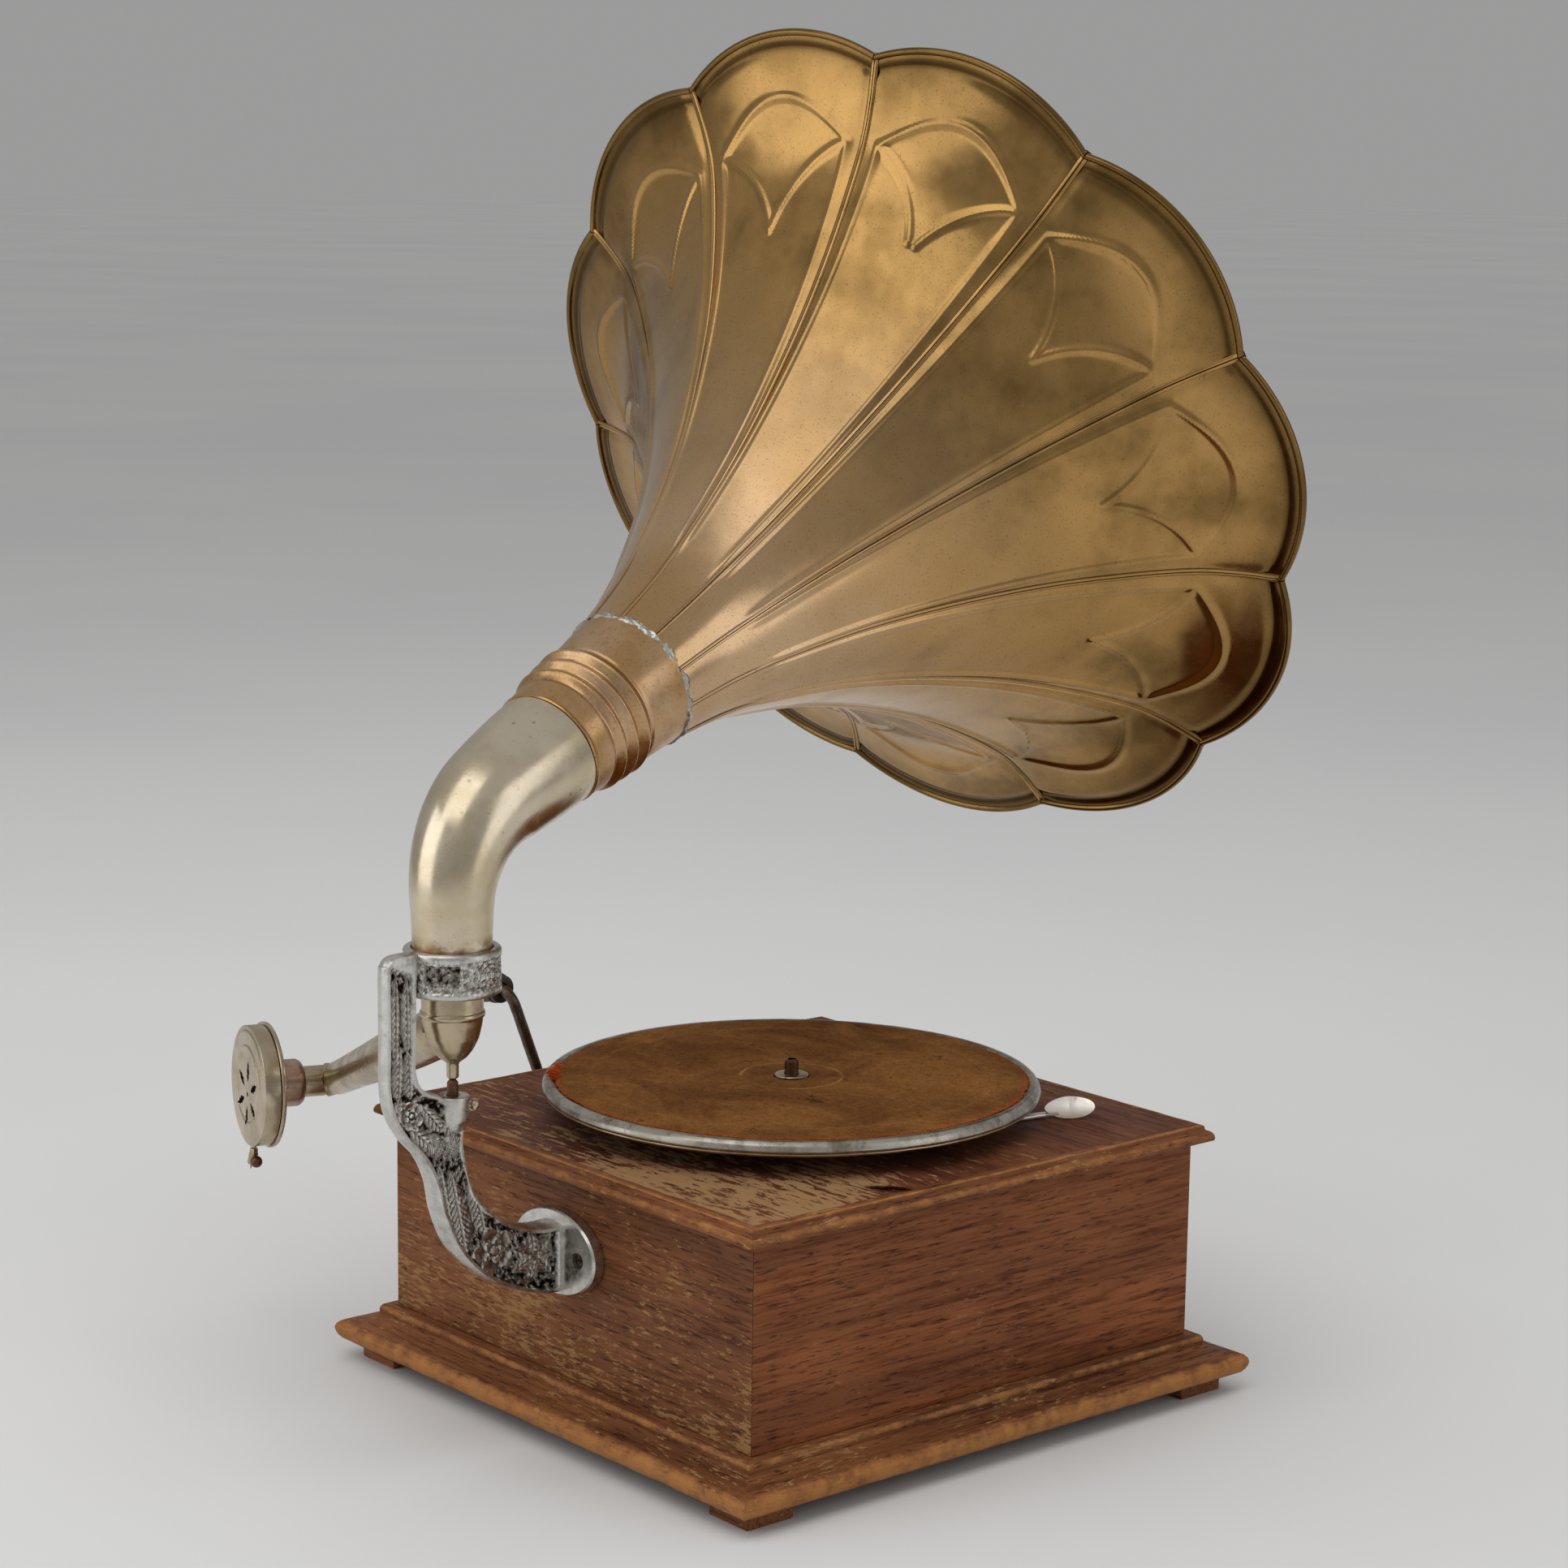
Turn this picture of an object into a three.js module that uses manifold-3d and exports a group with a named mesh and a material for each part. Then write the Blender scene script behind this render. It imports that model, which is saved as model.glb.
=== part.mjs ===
// Wind-up phonograph: a square wooden case with a turntable, a cast back bracket that holds a
// petal horn on its elbow, a swinging tonearm with a soundbox, a winding crank and a spring motor.
// Millimetres, +Z up. The front of the case faces -Y, the bracket is at +Y, the crank at +X.
import * as THREE from "three";
import { mergeVertices } from "three/addons/utils/BufferGeometryUtils.js";
import Module from "manifold-3d";

const wasm = await Module();
wasm.setup();

// ---------------------------------------------------------------- driving dimensions
const ORIGIN_X = -72.5; // case centre, from the centre of the whole object's bounding box
const ORIGIN_Y = 5.1;
const GAP = 0.3; // clearance left between pieces that touch

const CASE_HALF_X = 143.4;
const CASE_HALF_Y = 144.5;
const BOARD = 9;
const CASE_BOTTOM = 28.8;
const LID_BOTTOM = 131.1;
const LID_TOP = 139.4;
const BASE_BOTTOM = 8.3;
const FOOT = 28;
const FOOT_HEIGHT = 8;
const FOOT_CORNER_X = 156.8;
const FOOT_CORNER_Y = 157.6;
const BOTTOM_HALF = 126; // half the square opening in the base
const MOTOR_BOLTS = [[-32, 58], [78, 58], [20, -38]];
const LEVER_PIVOT = [-80, -44];

const PLATTER_R = 127;
const PLATTER_TOP = 158;
const PLATTER_BOTTOM = 150;
const PLATTER_SEAT = 156.8; // flat top that the felt and the washer lie on
const FELT_R = 120.4;
const FELT_BORE = 9;
const SPINDLE_R = 3.6;
const SPINDLE_TOP = 167;

const RING_Y = 210.4; // vertical axis shared by the ring, the tonearm pivot and the elbow
const RING_TOP = 253.9;
const RING_BOTTOM = 232;
const RING_R = 23.2;
const RING_BORE = 19.2;
const NECK_BORE = 15.1;
const BOSS_TOP = 181.9;
const BOSS_R = 8;
const FLANGE_Z = 93.8;
const FLANGE_THICK = 6.8;
const FLANGE_SCREW_X = 20;

const HORN_HEADING = THREE.MathUtils.degToRad(12.55); // from -Y towards +X
const HORN_RISE = THREE.MathUtils.degToRad(23.1);
const HORN_MEET_Z = 309.6; // where the horn's axis meets the ring's axis
const HORN_THROAT_AT = 141.2; // along the horn's axis from that meeting point
const ELBOW_END_AT = 73.4;
const ELBOW_BEND_R = 50;
const GORES = 11;
const SEAM_PHASE = THREE.MathUtils.degToRad(114.6);
const SHEET = 1;
const RIM_BEAD = 1.7;
const SCALLOP = 15;

const ARM_HINGE_OUT = 6; // tonearm lift hinge, from the ring's axis
const ARM_HINGE_Z = 213;
const ARM_BEND = new THREE.Vector3(182.1, 157.2, 143.2);
const SOUNDBOX_FACE = new THREE.Vector3(193.5, 203.1, 144.8);
const SOUNDBOX_HEADING = THREE.MathUtils.degToRad(74.2); // from +X towards +Y
const SOUNDBOX_DIP = -0.02;
const SOUNDBOX_R = 32.5;
const STYLUS_BEHIND = 3.8; // stylus bar, behind the face
const NEEDLE_SLANT = THREE.MathUtils.degToRad(30);

const CRANK_Y = 20.5;
const CRANK_Z = 98;
const CRANK_ARM_X = 172;
const CRANK_TOP_Y = 50;
const CRANK_TOP_Z = 176.5;
const CRANK_R = 3;

const MODULE = 1; // gear tooth module
const BARREL_X = 46;
const BARREL_TEETH = 66;
const CENTRE_PINION_TEETH = 12;
const CENTRE_TEETH = 30;
const SPINDLE_TEETH = 12;
const WORM_WHEEL_TEETH = 36;
const CROWN_TEETH = 28;
const WINDING_TEETH = 15;
const PLATE_TOP = 130.8;
const PLATE = 3;
const LOWER_PLATE_TOP = 65;

// ---------------------------------------------------------------- materials
function finish(color, roughness, metalness) {
  return new THREE.MeshStandardMaterial({ color, roughness, metalness });
}
const MAHOGANY = finish("#7d4526", 0.6, 0);
const EDGE_WOOD = finish("#8a5530", 0.6, 0);
const CAST = finish("#a3a39f", 0.4, 0.9);
const NICKEL = finish("#b4a992", 0.3, 1);
const BRASS = finish("#8f7443", 0.35, 1);
const COPPERY = finish("#94745a", 0.35, 1);
const STEEL = finish("#5b544d", 0.5, 0.9);
const FELT = finish("#6f4420", 0.95, 0);
const HANDLE = finish("#3a2417", 0.5, 0);
const MICA = finish("#a89f86", 0.4, 0);

// ---------------------------------------------------------------- solids
// Position-only indexed geometry with no collapsed triangles, facing outwards.
function closed(geometry) {
  const bare = new THREE.BufferGeometry();
  bare.setAttribute("position", geometry.getAttribute("position").clone());
  if (geometry.index) bare.setIndex(geometry.index.clone());
  const merged = mergeVertices(bare, 1e-4);
  const index = merged.index.array;
  const kept = [];
  for (let i = 0; i < index.length; i += 3) {
    const [a, b, c] = [index[i], index[i + 1], index[i + 2]];
    if (a !== b && b !== c && a !== c) kept.push(a, b, c);
  }
  merged.setIndex(kept);
  if (volumeOf(merged) < 0) {
    for (let i = 0; i < kept.length; i += 3) [kept[i + 1], kept[i + 2]] = [kept[i + 2], kept[i + 1]];
    merged.setIndex(kept);
  }
  return merged;
}

function volumeOf(geometry) {
  const p = geometry.attributes.position;
  const [a, b, c] = [new THREE.Vector3(), new THREE.Vector3(), new THREE.Vector3()];
  let sum = 0;
  for (let i = 0; i < geometry.index.count; i += 3) {
    a.fromBufferAttribute(p, geometry.index.getX(i));
    b.fromBufferAttribute(p, geometry.index.getX(i + 1));
    c.fromBufferAttribute(p, geometry.index.getX(i + 2));
    sum += a.dot(b.cross(c)) / 6;
  }
  return sum;
}

function manifoldOf(geometry) {
  const g = closed(geometry);
  return new wasm.Manifold(
    new wasm.Mesh({
      numProp: 3,
      vertProperties: new Float32Array(g.attributes.position.array),
      triVerts: new Uint32Array(g.index.array),
    }),
  );
}

// The largest body of a boolean's result: slivers where surfaces almost meet are dropped.
function geometryOf(manifold) {
  const bodies = manifold.decompose().sort((a, b) => b.volume() - a.volume());
  const mesh = bodies[0].getMesh();
  const g = new THREE.BufferGeometry();
  g.setAttribute("position", new THREE.BufferAttribute(new Float32Array(mesh.vertProperties), 3));
  g.setIndex(Array.from(mesh.triVerts));
  return g;
}

function join(first, ...rest) {
  return geometryOf(rest.reduce((m, g) => m.add(manifoldOf(g)), manifoldOf(first)));
}

function cut(first, ...rest) {
  return geometryOf(rest.reduce((m, g) => m.subtract(manifoldOf(g)), manifoldOf(first)));
}

function add(parent, name, geometry, material) {
  const g = closed(geometry).toNonIndexed();
  g.computeVertexNormals();
  const mesh = new THREE.Mesh(g, material);
  mesh.name = name;
  parent.add(mesh);
  return mesh;
}

// Box from its low corner to its high corner.
function box(low, high) {
  const g = new THREE.BoxGeometry(high[0] - low[0], high[1] - low[1], high[2] - low[2]);
  return g.translate((low[0] + high[0]) / 2, (low[1] + high[1]) / 2, (low[2] + high[2]) / 2);
}

// Turned solid about the Z axis through (x, y); profile is [radius, z] pairs.
function turned(profile, segments = 32, x = 0, y = 0) {
  const points = profile.map(([r, z]) => new THREE.Vector2(r, z));
  return new THREE.LatheGeometry(points, segments).rotateX(Math.PI / 2).translate(x, y, 0);
}

function rod(radius, z0, z1, segments = 20, x = 0, y = 0) {
  return turned([[0, z0], [radius, z0], [radius, z1], [0, z1]], segments, x, y);
}

function washer(inner, outer, z0, z1, segments = 32, x = 0, y = 0) {
  return turned([[inner, z0], [outer, z0], [outer, z1], [inner, z1], [inner, z0]], segments, x, y);
}

// Turns a solid made about +Z so that +Z points along the direction, and moves it to the point.
function aim(geometry, point, direction) {
  const turn = new THREE.Quaternion().setFromUnitVectors(
    new THREE.Vector3(0, 0, 1),
    direction.clone().normalize(),
  );
  return geometry.applyQuaternion(turn).translate(point.x, point.y, point.z);
}

// Triangles that fill a closed loop of points.
function capOf(loop) {
  const normal = new THREE.Vector3();
  loop.forEach((p, i) => normal.add(p.clone().cross(loop[(i + 1) % loop.length])));
  normal.normalize();
  const across = loop[1].clone().sub(loop[0]).normalize();
  const up = normal.clone().cross(across);
  const flat = loop.map((p) => new THREE.Vector2(p.dot(across), p.dot(up)));
  return THREE.ShapeUtils.triangulateShape(flat, []);
}

// Skin over loops of equal length. A ring of loops closes on itself; otherwise both ends are capped.
function skin(loops, ring = false) {
  const n = loops[0].length;
  const positions = loops.flat().flatMap((p) => [p.x, p.y, p.z]);
  const index = [];
  const last = ring ? loops.length : loops.length - 1;
  for (let i = 0; i < last; i += 1) {
    const a = i * n;
    const b = ((i + 1) % loops.length) * n;
    for (let j = 0; j < n; j += 1) {
      const k = (j + 1) % n;
      index.push(a + j, a + k, b + k, a + j, b + k, b + j);
    }
  }
  if (!ring) {
    const top = (loops.length - 1) * n;
    capOf(loops[0]).forEach(([a, b, c]) => index.push(a, c, b));
    capOf(loops[loops.length - 1]).forEach(([a, b, c]) => index.push(top + a, top + b, top + c));
  }
  const g = new THREE.BufferGeometry();
  g.setAttribute("position", new THREE.Float32BufferAttribute(positions, 3));
  g.setIndex(index);
  return g;
}

// Circles across a planar path; side is the unit vector square to the path's plane.
function circles(path, radii, side, count) {
  return path.map((p, i) => {
    const before = path[Math.max(i - 1, 0)];
    const after = path[Math.min(i + 1, path.length - 1)];
    const along = after.clone().sub(before).normalize();
    const up = side.clone().cross(along);
    return Array.from({ length: count }, (_, j) => {
      const a = (j / count) * 2 * Math.PI;
      return p
        .clone()
        .addScaledVector(side, radii[i] * Math.cos(a))
        .addScaledVector(up, radii[i] * Math.sin(a));
    });
  });
}

// Hollow tube along a planar path.
function pipe(path, radii, wall, side, count) {
  const inner = radii.map((r) => r - wall);
  return skin([...circles(path, radii, side, count), ...circles(path, inner, side, count).reverse()], true);
}

// Points of a path that goes straight, bends with one radius at each corner, and goes straight again.
function rounded(corners, radius, steps) {
  const points = [corners[0].clone()];
  for (let i = 1; i < corners.length - 1; i += 1) {
    const into = corners[i].clone().sub(corners[i - 1]).normalize();
    const out = corners[i + 1].clone().sub(corners[i]).normalize();
    const half = into.angleTo(out) / 2;
    const start = corners[i].clone().addScaledVector(into, -radius * Math.tan(half));
    const inward = out.clone().sub(into).normalize();
    const centre = corners[i].clone().addScaledVector(inward, radius / Math.cos(half));
    const spoke = start.clone().sub(centre);
    const axis = into.clone().cross(out).normalize();
    for (let k = 0; k <= steps; k += 1) {
      points.push(centre.clone().add(spoke.clone().applyAxisAngle(axis, (2 * half * k) / steps)));
    }
  }
  points.push(corners[corners.length - 1].clone());
  return points;
}

// Distance run along a path, as a share of its whole length.
function shares(path) {
  const run = [0];
  for (let i = 1; i < path.length; i += 1) run.push(run[i - 1] + path[i].distanceTo(path[i - 1]));
  return run.map((d) => d / run[run.length - 1]);
}

// ---------------------------------------------------------------- case
const object = new THREE.Group();
object.name = "phonograph";
object.position.set(ORIGIN_X, ORIGIN_Y, 0);

// Square slab or frame whose outside edge follows [overhang, z] pairs.
function mouldedSlab(profile) {
  const loops = profile.map(([out, z]) => {
    const [x, y] = [CASE_HALF_X + out, CASE_HALF_Y + out];
    return [[-x, -y], [x, -y], [x, y], [-x, y]].map(([u, v]) => new THREE.Vector3(u, v, z));
  });
  return skin(loops);
}

function alongX(geometry, x, y, z) {
  return geometry.rotateY(Math.PI / 2).translate(x, y, z);
}

function alongBack(geometry, x, y, z) {
  return geometry.rotateX(-Math.PI / 2).translate(x, y, z);
}

function buildCase() {
  const group = new THREE.Group();
  group.name = "case";
  object.add(group);
  const low = CASE_BOTTOM + GAP;
  const high = LID_BOTTOM - GAP;
  const [x, y] = [CASE_HALF_X, CASE_HALF_Y];
  const sideY = y - BOARD - GAP;
  const screwHoles = [-FLANGE_SCREW_X, FLANGE_SCREW_X].map((sx) =>
    alongBack(rod(2.3, -9, 2, 12), sx, y, FLANGE_Z),
  );
  add(group, "case_back", cut(box([-x, y - BOARD, low], [x, y, high]), ...screwHoles), MAHOGANY);
  add(group, "case_front", box([-x, -y, low], [x, -y + BOARD, high]), MAHOGANY);
  add(group, "case_left", box([-x, -sideY, low], [-x + BOARD, sideY, high]), MAHOGANY);
  const crankHole = alongX(rod(5, -BOARD - 1, 1, 20), x, CRANK_Y, CRANK_Z);
  add(group, "case_right", cut(box([x - BOARD, -sideY, low], [x, sideY, high]), crankHole), MAHOGANY);

  const lidEdge = [
    [7.6, LID_BOTTOM], [8.7, 132], [8.4, 134.2], [6.5, 136.1], [5, 136.3], [4.6, 138], [3.3, LID_TOP],
  ];
  const lidHoles = [
    rod(6, LID_BOTTOM - 1, LID_TOP + 1, 24),
    ...MOTOR_BOLTS.map(([bx, by]) => rod(2.2, LID_BOTTOM - 1, LID_TOP + 1, 12, bx, by)),
    rod(3, LID_BOTTOM - 1, LID_TOP + 1, 12, LEVER_PIVOT[0], LEVER_PIVOT[1]),
  ];
  add(group, "case_lid", cut(mouldedSlab(lidEdge), ...lidHoles), MAHOGANY);

  const baseEdge = [
    [16.5, BASE_BOTTOM], [20.5, 9], [23, 12], [23.7, 15.2], [22.3, 18.4], [18.2, 20.2],
    [12.4, 21], [8.6, 22.4], [6.6, 23.4], [6.6, 27.4], [5.4, CASE_BOTTOM],
  ];
  const opening = box([-BOTTOM_HALF, -BOTTOM_HALF, 0], [BOTTOM_HALF, BOTTOM_HALF, 40]);
  add(group, "base_moulding", cut(mouldedSlab(baseEdge), opening), EDGE_WOOD);
  const board = BOTTOM_HALF - GAP;
  add(group, "bottom_board", box([-board, -board, 11], [board, board, 18]), EDGE_WOOD);

  [["back_left", -1, 1], ["back_right", 1, 1], ["front_left", -1, -1], ["front_right", 1, -1]].forEach(
    ([name, sx, sy]) => {
      const [cx, cy] = [sx * (FOOT_CORNER_X - FOOT / 2), sy * (FOOT_CORNER_Y - FOOT / 2)];
      const h = FOOT / 2;
      add(group, "foot_" + name, box([cx - h, cy - h, 0], [cx + h, cy + h, FOOT_HEIGHT]), EDGE_WOOD);
    },
  );
}

// ---------------------------------------------------------------- bracket
// Width of the casting across X at a height: heavy at the flange, light along the upright.
function castingWidth(z) {
  const t = THREE.MathUtils.smoothstep(z, 100, 195);
  return THREE.MathUtils.lerp(16, 8.4, t);
}

function bracketArm() {
  const face = CASE_HALF_Y + FLANGE_THICK - 1;
  const outer = [[face, 75.5], [163.5, 77], [182.5, 83.7], [198.5, 93.7], [211.5, 108], [219.5, 125.7],
    [223.5, 141.7], [232, 157.5], [241, 166.5], [246.5, 176.5], [249.5, 187], [249.5, 248], [246, 251.6]];
  const inner = [[228, 251.6], [228, 233], [233.6, 230], [234.4, 196], [229.7, 187.5], [221.7, 182],
    [212, 178], [206, 166], [208.4, 158], [206.7, 146.3], [202.4, 133.3], [192.7, 122.3], [180.4, 114],
    [164.4, 109], [face, 108.5]];
  const shape = new THREE.Shape([...outer, ...inner].map(([y, z]) => new THREE.Vector2(y, z)));
  const g = new THREE.ExtrudeGeometry(shape, { depth: 1, steps: 1, bevelEnabled: false });
  const p = g.attributes.position;
  for (let i = 0; i < p.count; i += 1) {
    const [y, z, side] = [p.getX(i), p.getY(i), p.getZ(i) - 0.5];
    p.setXYZ(i, side * castingWidth(z), y, z);
  }
  return g;
}

function buildBracket() {
  const group = new THREE.Group();
  group.name = "bracket_parts";
  object.add(group);
  const back = CASE_HALF_Y + GAP;
  const oval = new THREE.Shape().absellipse(0, 0, 32.3, 21.3, 0, 2 * Math.PI);
  const flange = new THREE.ExtrudeGeometry(oval, {
    depth: FLANGE_THICK - GAP - 1.2, bevelThickness: 1.2, bevelSize: 1.2, bevelOffset: -1.2, bevelSegments: 1,
    curveSegments: 20,
  });
  flange.rotateX(-Math.PI / 2).translate(0, back, FLANGE_Z);
  const flangeBox = box([-40, back - 5, 60], [40, back, 130]);
  const ring = turned([[0, RING_BOTTOM], [RING_R - 0.8, RING_BOTTOM], [RING_R, RING_BOTTOM + 1],
    [RING_R, RING_TOP - 1], [RING_R - 0.8, RING_TOP], [0, RING_TOP]], 32, 0, RING_Y);
  const boss = rod(BOSS_R, 166, BOSS_TOP, 24, 0, RING_Y);
  const casting = join(flange, bracketArm(), ring, boss);
  const seat = CASE_HALF_Y + FLANGE_THICK;
  const bores = [
    rod(RING_BORE, RING_BOTTOM + 4, RING_TOP + 5, 32, 0, RING_Y),
    rod(NECK_BORE, RING_BOTTOM - 5, RING_TOP, 32, 0, RING_Y),
    rod(2.95, 160, BOSS_TOP + 2, 16, 0, RING_Y),
    alongBack(rod(1.5, 0, 10.5, 10), 0, RING_Y - 12, 175),
    flangeBox,
  ];
  [-FLANGE_SCREW_X, FLANGE_SCREW_X].forEach((x) => {
    bores.push(alongBack(rod(2.4, -10, 4, 12), x, seat, FLANGE_Z));
    bores.push(alongBack(rod(4.2, -2.6, 4, 16), x, seat, FLANGE_Z));
  });
  add(group, "bracket", cut(casting, ...bores), CAST);

  [["left", -1], ["right", 1]].forEach(([name, side]) => {
    const screw = turned([[0, -14], [2, -12], [2, -2.4], [3.9, -2.4], [3.9, -1], [3, -0.5], [0, -0.5]], 16);
    add(group, "flange_screw_" + name, alongBack(screw, side * FLANGE_SCREW_X, seat, FLANGE_Z), STEEL);
  });
  const setScrew = join(rod(1.2, -3, 8.9, 8), new THREE.SphereGeometry(2.6, 8, 6));
  add(group, "set_screw", alongBack(setScrew, 0, RING_Y - 12, 175), NICKEL);
  const pin = turned([[0, 160.5], [2.7, 160.5], [2.7, 188], [1.4, 189.7], [0, 189.7]], 16, 0, RING_Y);
  add(group, "pivot_pin", pin, STEEL);
}

// ---------------------------------------------------------------- horn
const hornAxis = new THREE.Vector3(
  Math.sin(HORN_HEADING) * Math.cos(HORN_RISE),
  -Math.cos(HORN_HEADING) * Math.cos(HORN_RISE),
  Math.sin(HORN_RISE),
);
const hornSide = hornAxis.clone().cross(new THREE.Vector3(0, 0, 1)).normalize();
const hornUp = hornSide.clone().cross(hornAxis);
const hornMeet = new THREE.Vector3(0, RING_Y, HORN_MEET_Z);

// Point at a distance along the horn's axis, a radius from it and an angle round it.
function hornPoint(at, radius, angle) {
  return hornMeet
    .clone()
    .addScaledVector(hornAxis, at)
    .addScaledVector(hornSide, radius * Math.cos(angle))
    .addScaledVector(hornUp, radius * Math.sin(angle));
}

// Turned hollow shell on the horn's axis from [distance, radius] pairs of its outside.
function hornShell(outside, wall, count) {
  const loop = [...outside, ...outside.map(([at, r]) => [at, r - wall]).reverse()];
  const loops = Array.from({ length: count }, (_, j) =>
    loop.map(([at, r]) => hornPoint(at, r, (j / count) * 2 * Math.PI)),
  );
  return skin(loops, true);
}

function buildElbow(group) {
  const foot = new THREE.Vector3(0, RING_Y, RING_BOTTOM + 4 + GAP);
  const path = rounded([foot, hornMeet, hornPoint(ELBOW_END_AT - GAP, 0, 0)], ELBOW_BEND_R, 6);
  path.splice(1, 0, new THREE.Vector3(0, RING_Y, 262));
  const swell = (t) => THREE.MathUtils.smoothstep(t, 0.1, 1);
  const radii = shares(path).map((t) => THREE.MathUtils.lerp(18.8, 29.3, swell(t)));
  add(group, "horn_elbow", pipe(path, radii, 1.1, hornSide, 20), NICKEL);
}

function buildCollar(group) {
  const bead = (at, r) => [[at - 3.2, r - 0.9], [at, r + 1.6], [at + 3.2, r - 0.9]];
  const outside = [
    [ELBOW_END_AT, 29.6], [86, 30.9], ...bead(92, 31.9), ...bead(100.5, 32.6), ...bead(109, 33.4),
    [114, 33.5], [127, 34.9], [HORN_THROAT_AT - GAP, 36.4],
  ];
  add(group, "horn_collar", hornShell(outside, 1.3, 18), COPPERY);
}

// Flare of the horn at a seam: distance along the axis and radius.
const flare = new THREE.SplineCurve(
  [[0, 35.8], [31.3, 42.3], [65.2, 53.6], [104.3, 71.1], [143.4, 94.2], [182.6, 122.5], [213.9, 150.9],
    [239.9, 179.2], [252, 200], [260.8, 223.5]].map(([at, r]) => new THREE.Vector2(at, r)),
);

// Closed loop of one gore across its thickness, at a share of the way between its two seams (-1 to 1).
function goreLoop(middle, across, rows) {
  const outer = [];
  const inner = [];
  for (let i = 0; i <= rows; i += 1) {
    const t = 1 - (1 - i / rows) ** 1.25;
    const p = flare.getPoint(t);
    const tangent = flare.getTangent(t);
    const normal = new THREE.Vector2(-tangent.y, tangent.x);
    const flat = 0.3 * t;
    const half = Math.PI / GORES;
    const bow = 1 - flat + (flat * Math.cos(half)) / Math.cos(across * half);
    const reach = SCALLOP * (1 - across * across) * THREE.MathUtils.smoothstep(t, 0.72, 1);
    const r = p.y * bow + reach * 0.97;
    const at = HORN_THROAT_AT + p.x + reach * 0.22;
    outer.push([at + normal.x * SHEET * 0.5, r + normal.y * SHEET * 0.5]);
    inner.push([at - normal.x * SHEET * 0.5, r - normal.y * SHEET * 0.5]);
    if (i === rows) {
      for (let k = 0; k <= 4; k += 1) {
        const a = (k / 4) * Math.PI * 1.3 - 0.15 * Math.PI;
        outer.push([
          at + normal.x * RIM_BEAD * Math.cos(a) + tangent.x * RIM_BEAD * (1 + Math.sin(a)),
          r + normal.y * RIM_BEAD * Math.cos(a) + tangent.y * RIM_BEAD * (1 + Math.sin(a)),
        ]);
      }
    }
  }
  return [...outer, ...inner.reverse()].map(([at, r]) => {
    const half = Math.PI / GORES - GAP / 2 / r;
    return hornPoint(at, r, middle + across * half);
  });
}

function buildHorn() {
  const group = new THREE.Group();
  group.name = "horn";
  object.add(group);
  buildElbow(group);
  buildCollar(group);
  for (let k = 0; k < GORES; k += 1) {
    const middle = SEAM_PHASE - ((k + 0.5) * 2 * Math.PI) / GORES;
    const loops = [-1, -0.62, -0.2, 0.2, 0.62, 1].map((u) => goreLoop(middle, u, 11));
    add(group, "horn_gore_" + String(k + 1).padStart(2, "0"), skin(loops), BRASS);
  }
}

// ---------------------------------------------------------------- tonearm and soundbox
const armHinge = new THREE.Vector3();
const armOut = new THREE.Vector3(ARM_BEND.x, ARM_BEND.y - RING_Y, 0).normalize();
armHinge.set(armOut.x * ARM_HINGE_OUT, RING_Y + armOut.y * ARM_HINGE_OUT, ARM_HINGE_Z);
const boxAxis = new THREE.Vector3(
  Math.cos(SOUNDBOX_HEADING), Math.sin(SOUNDBOX_HEADING), -SOUNDBOX_DIP,
).normalize();

// Point on the soundbox's axis, measured back from its face.
function behindFace(distance) {
  return SOUNDBOX_FACE.clone().addScaledVector(boxAxis, -distance);
}

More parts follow.
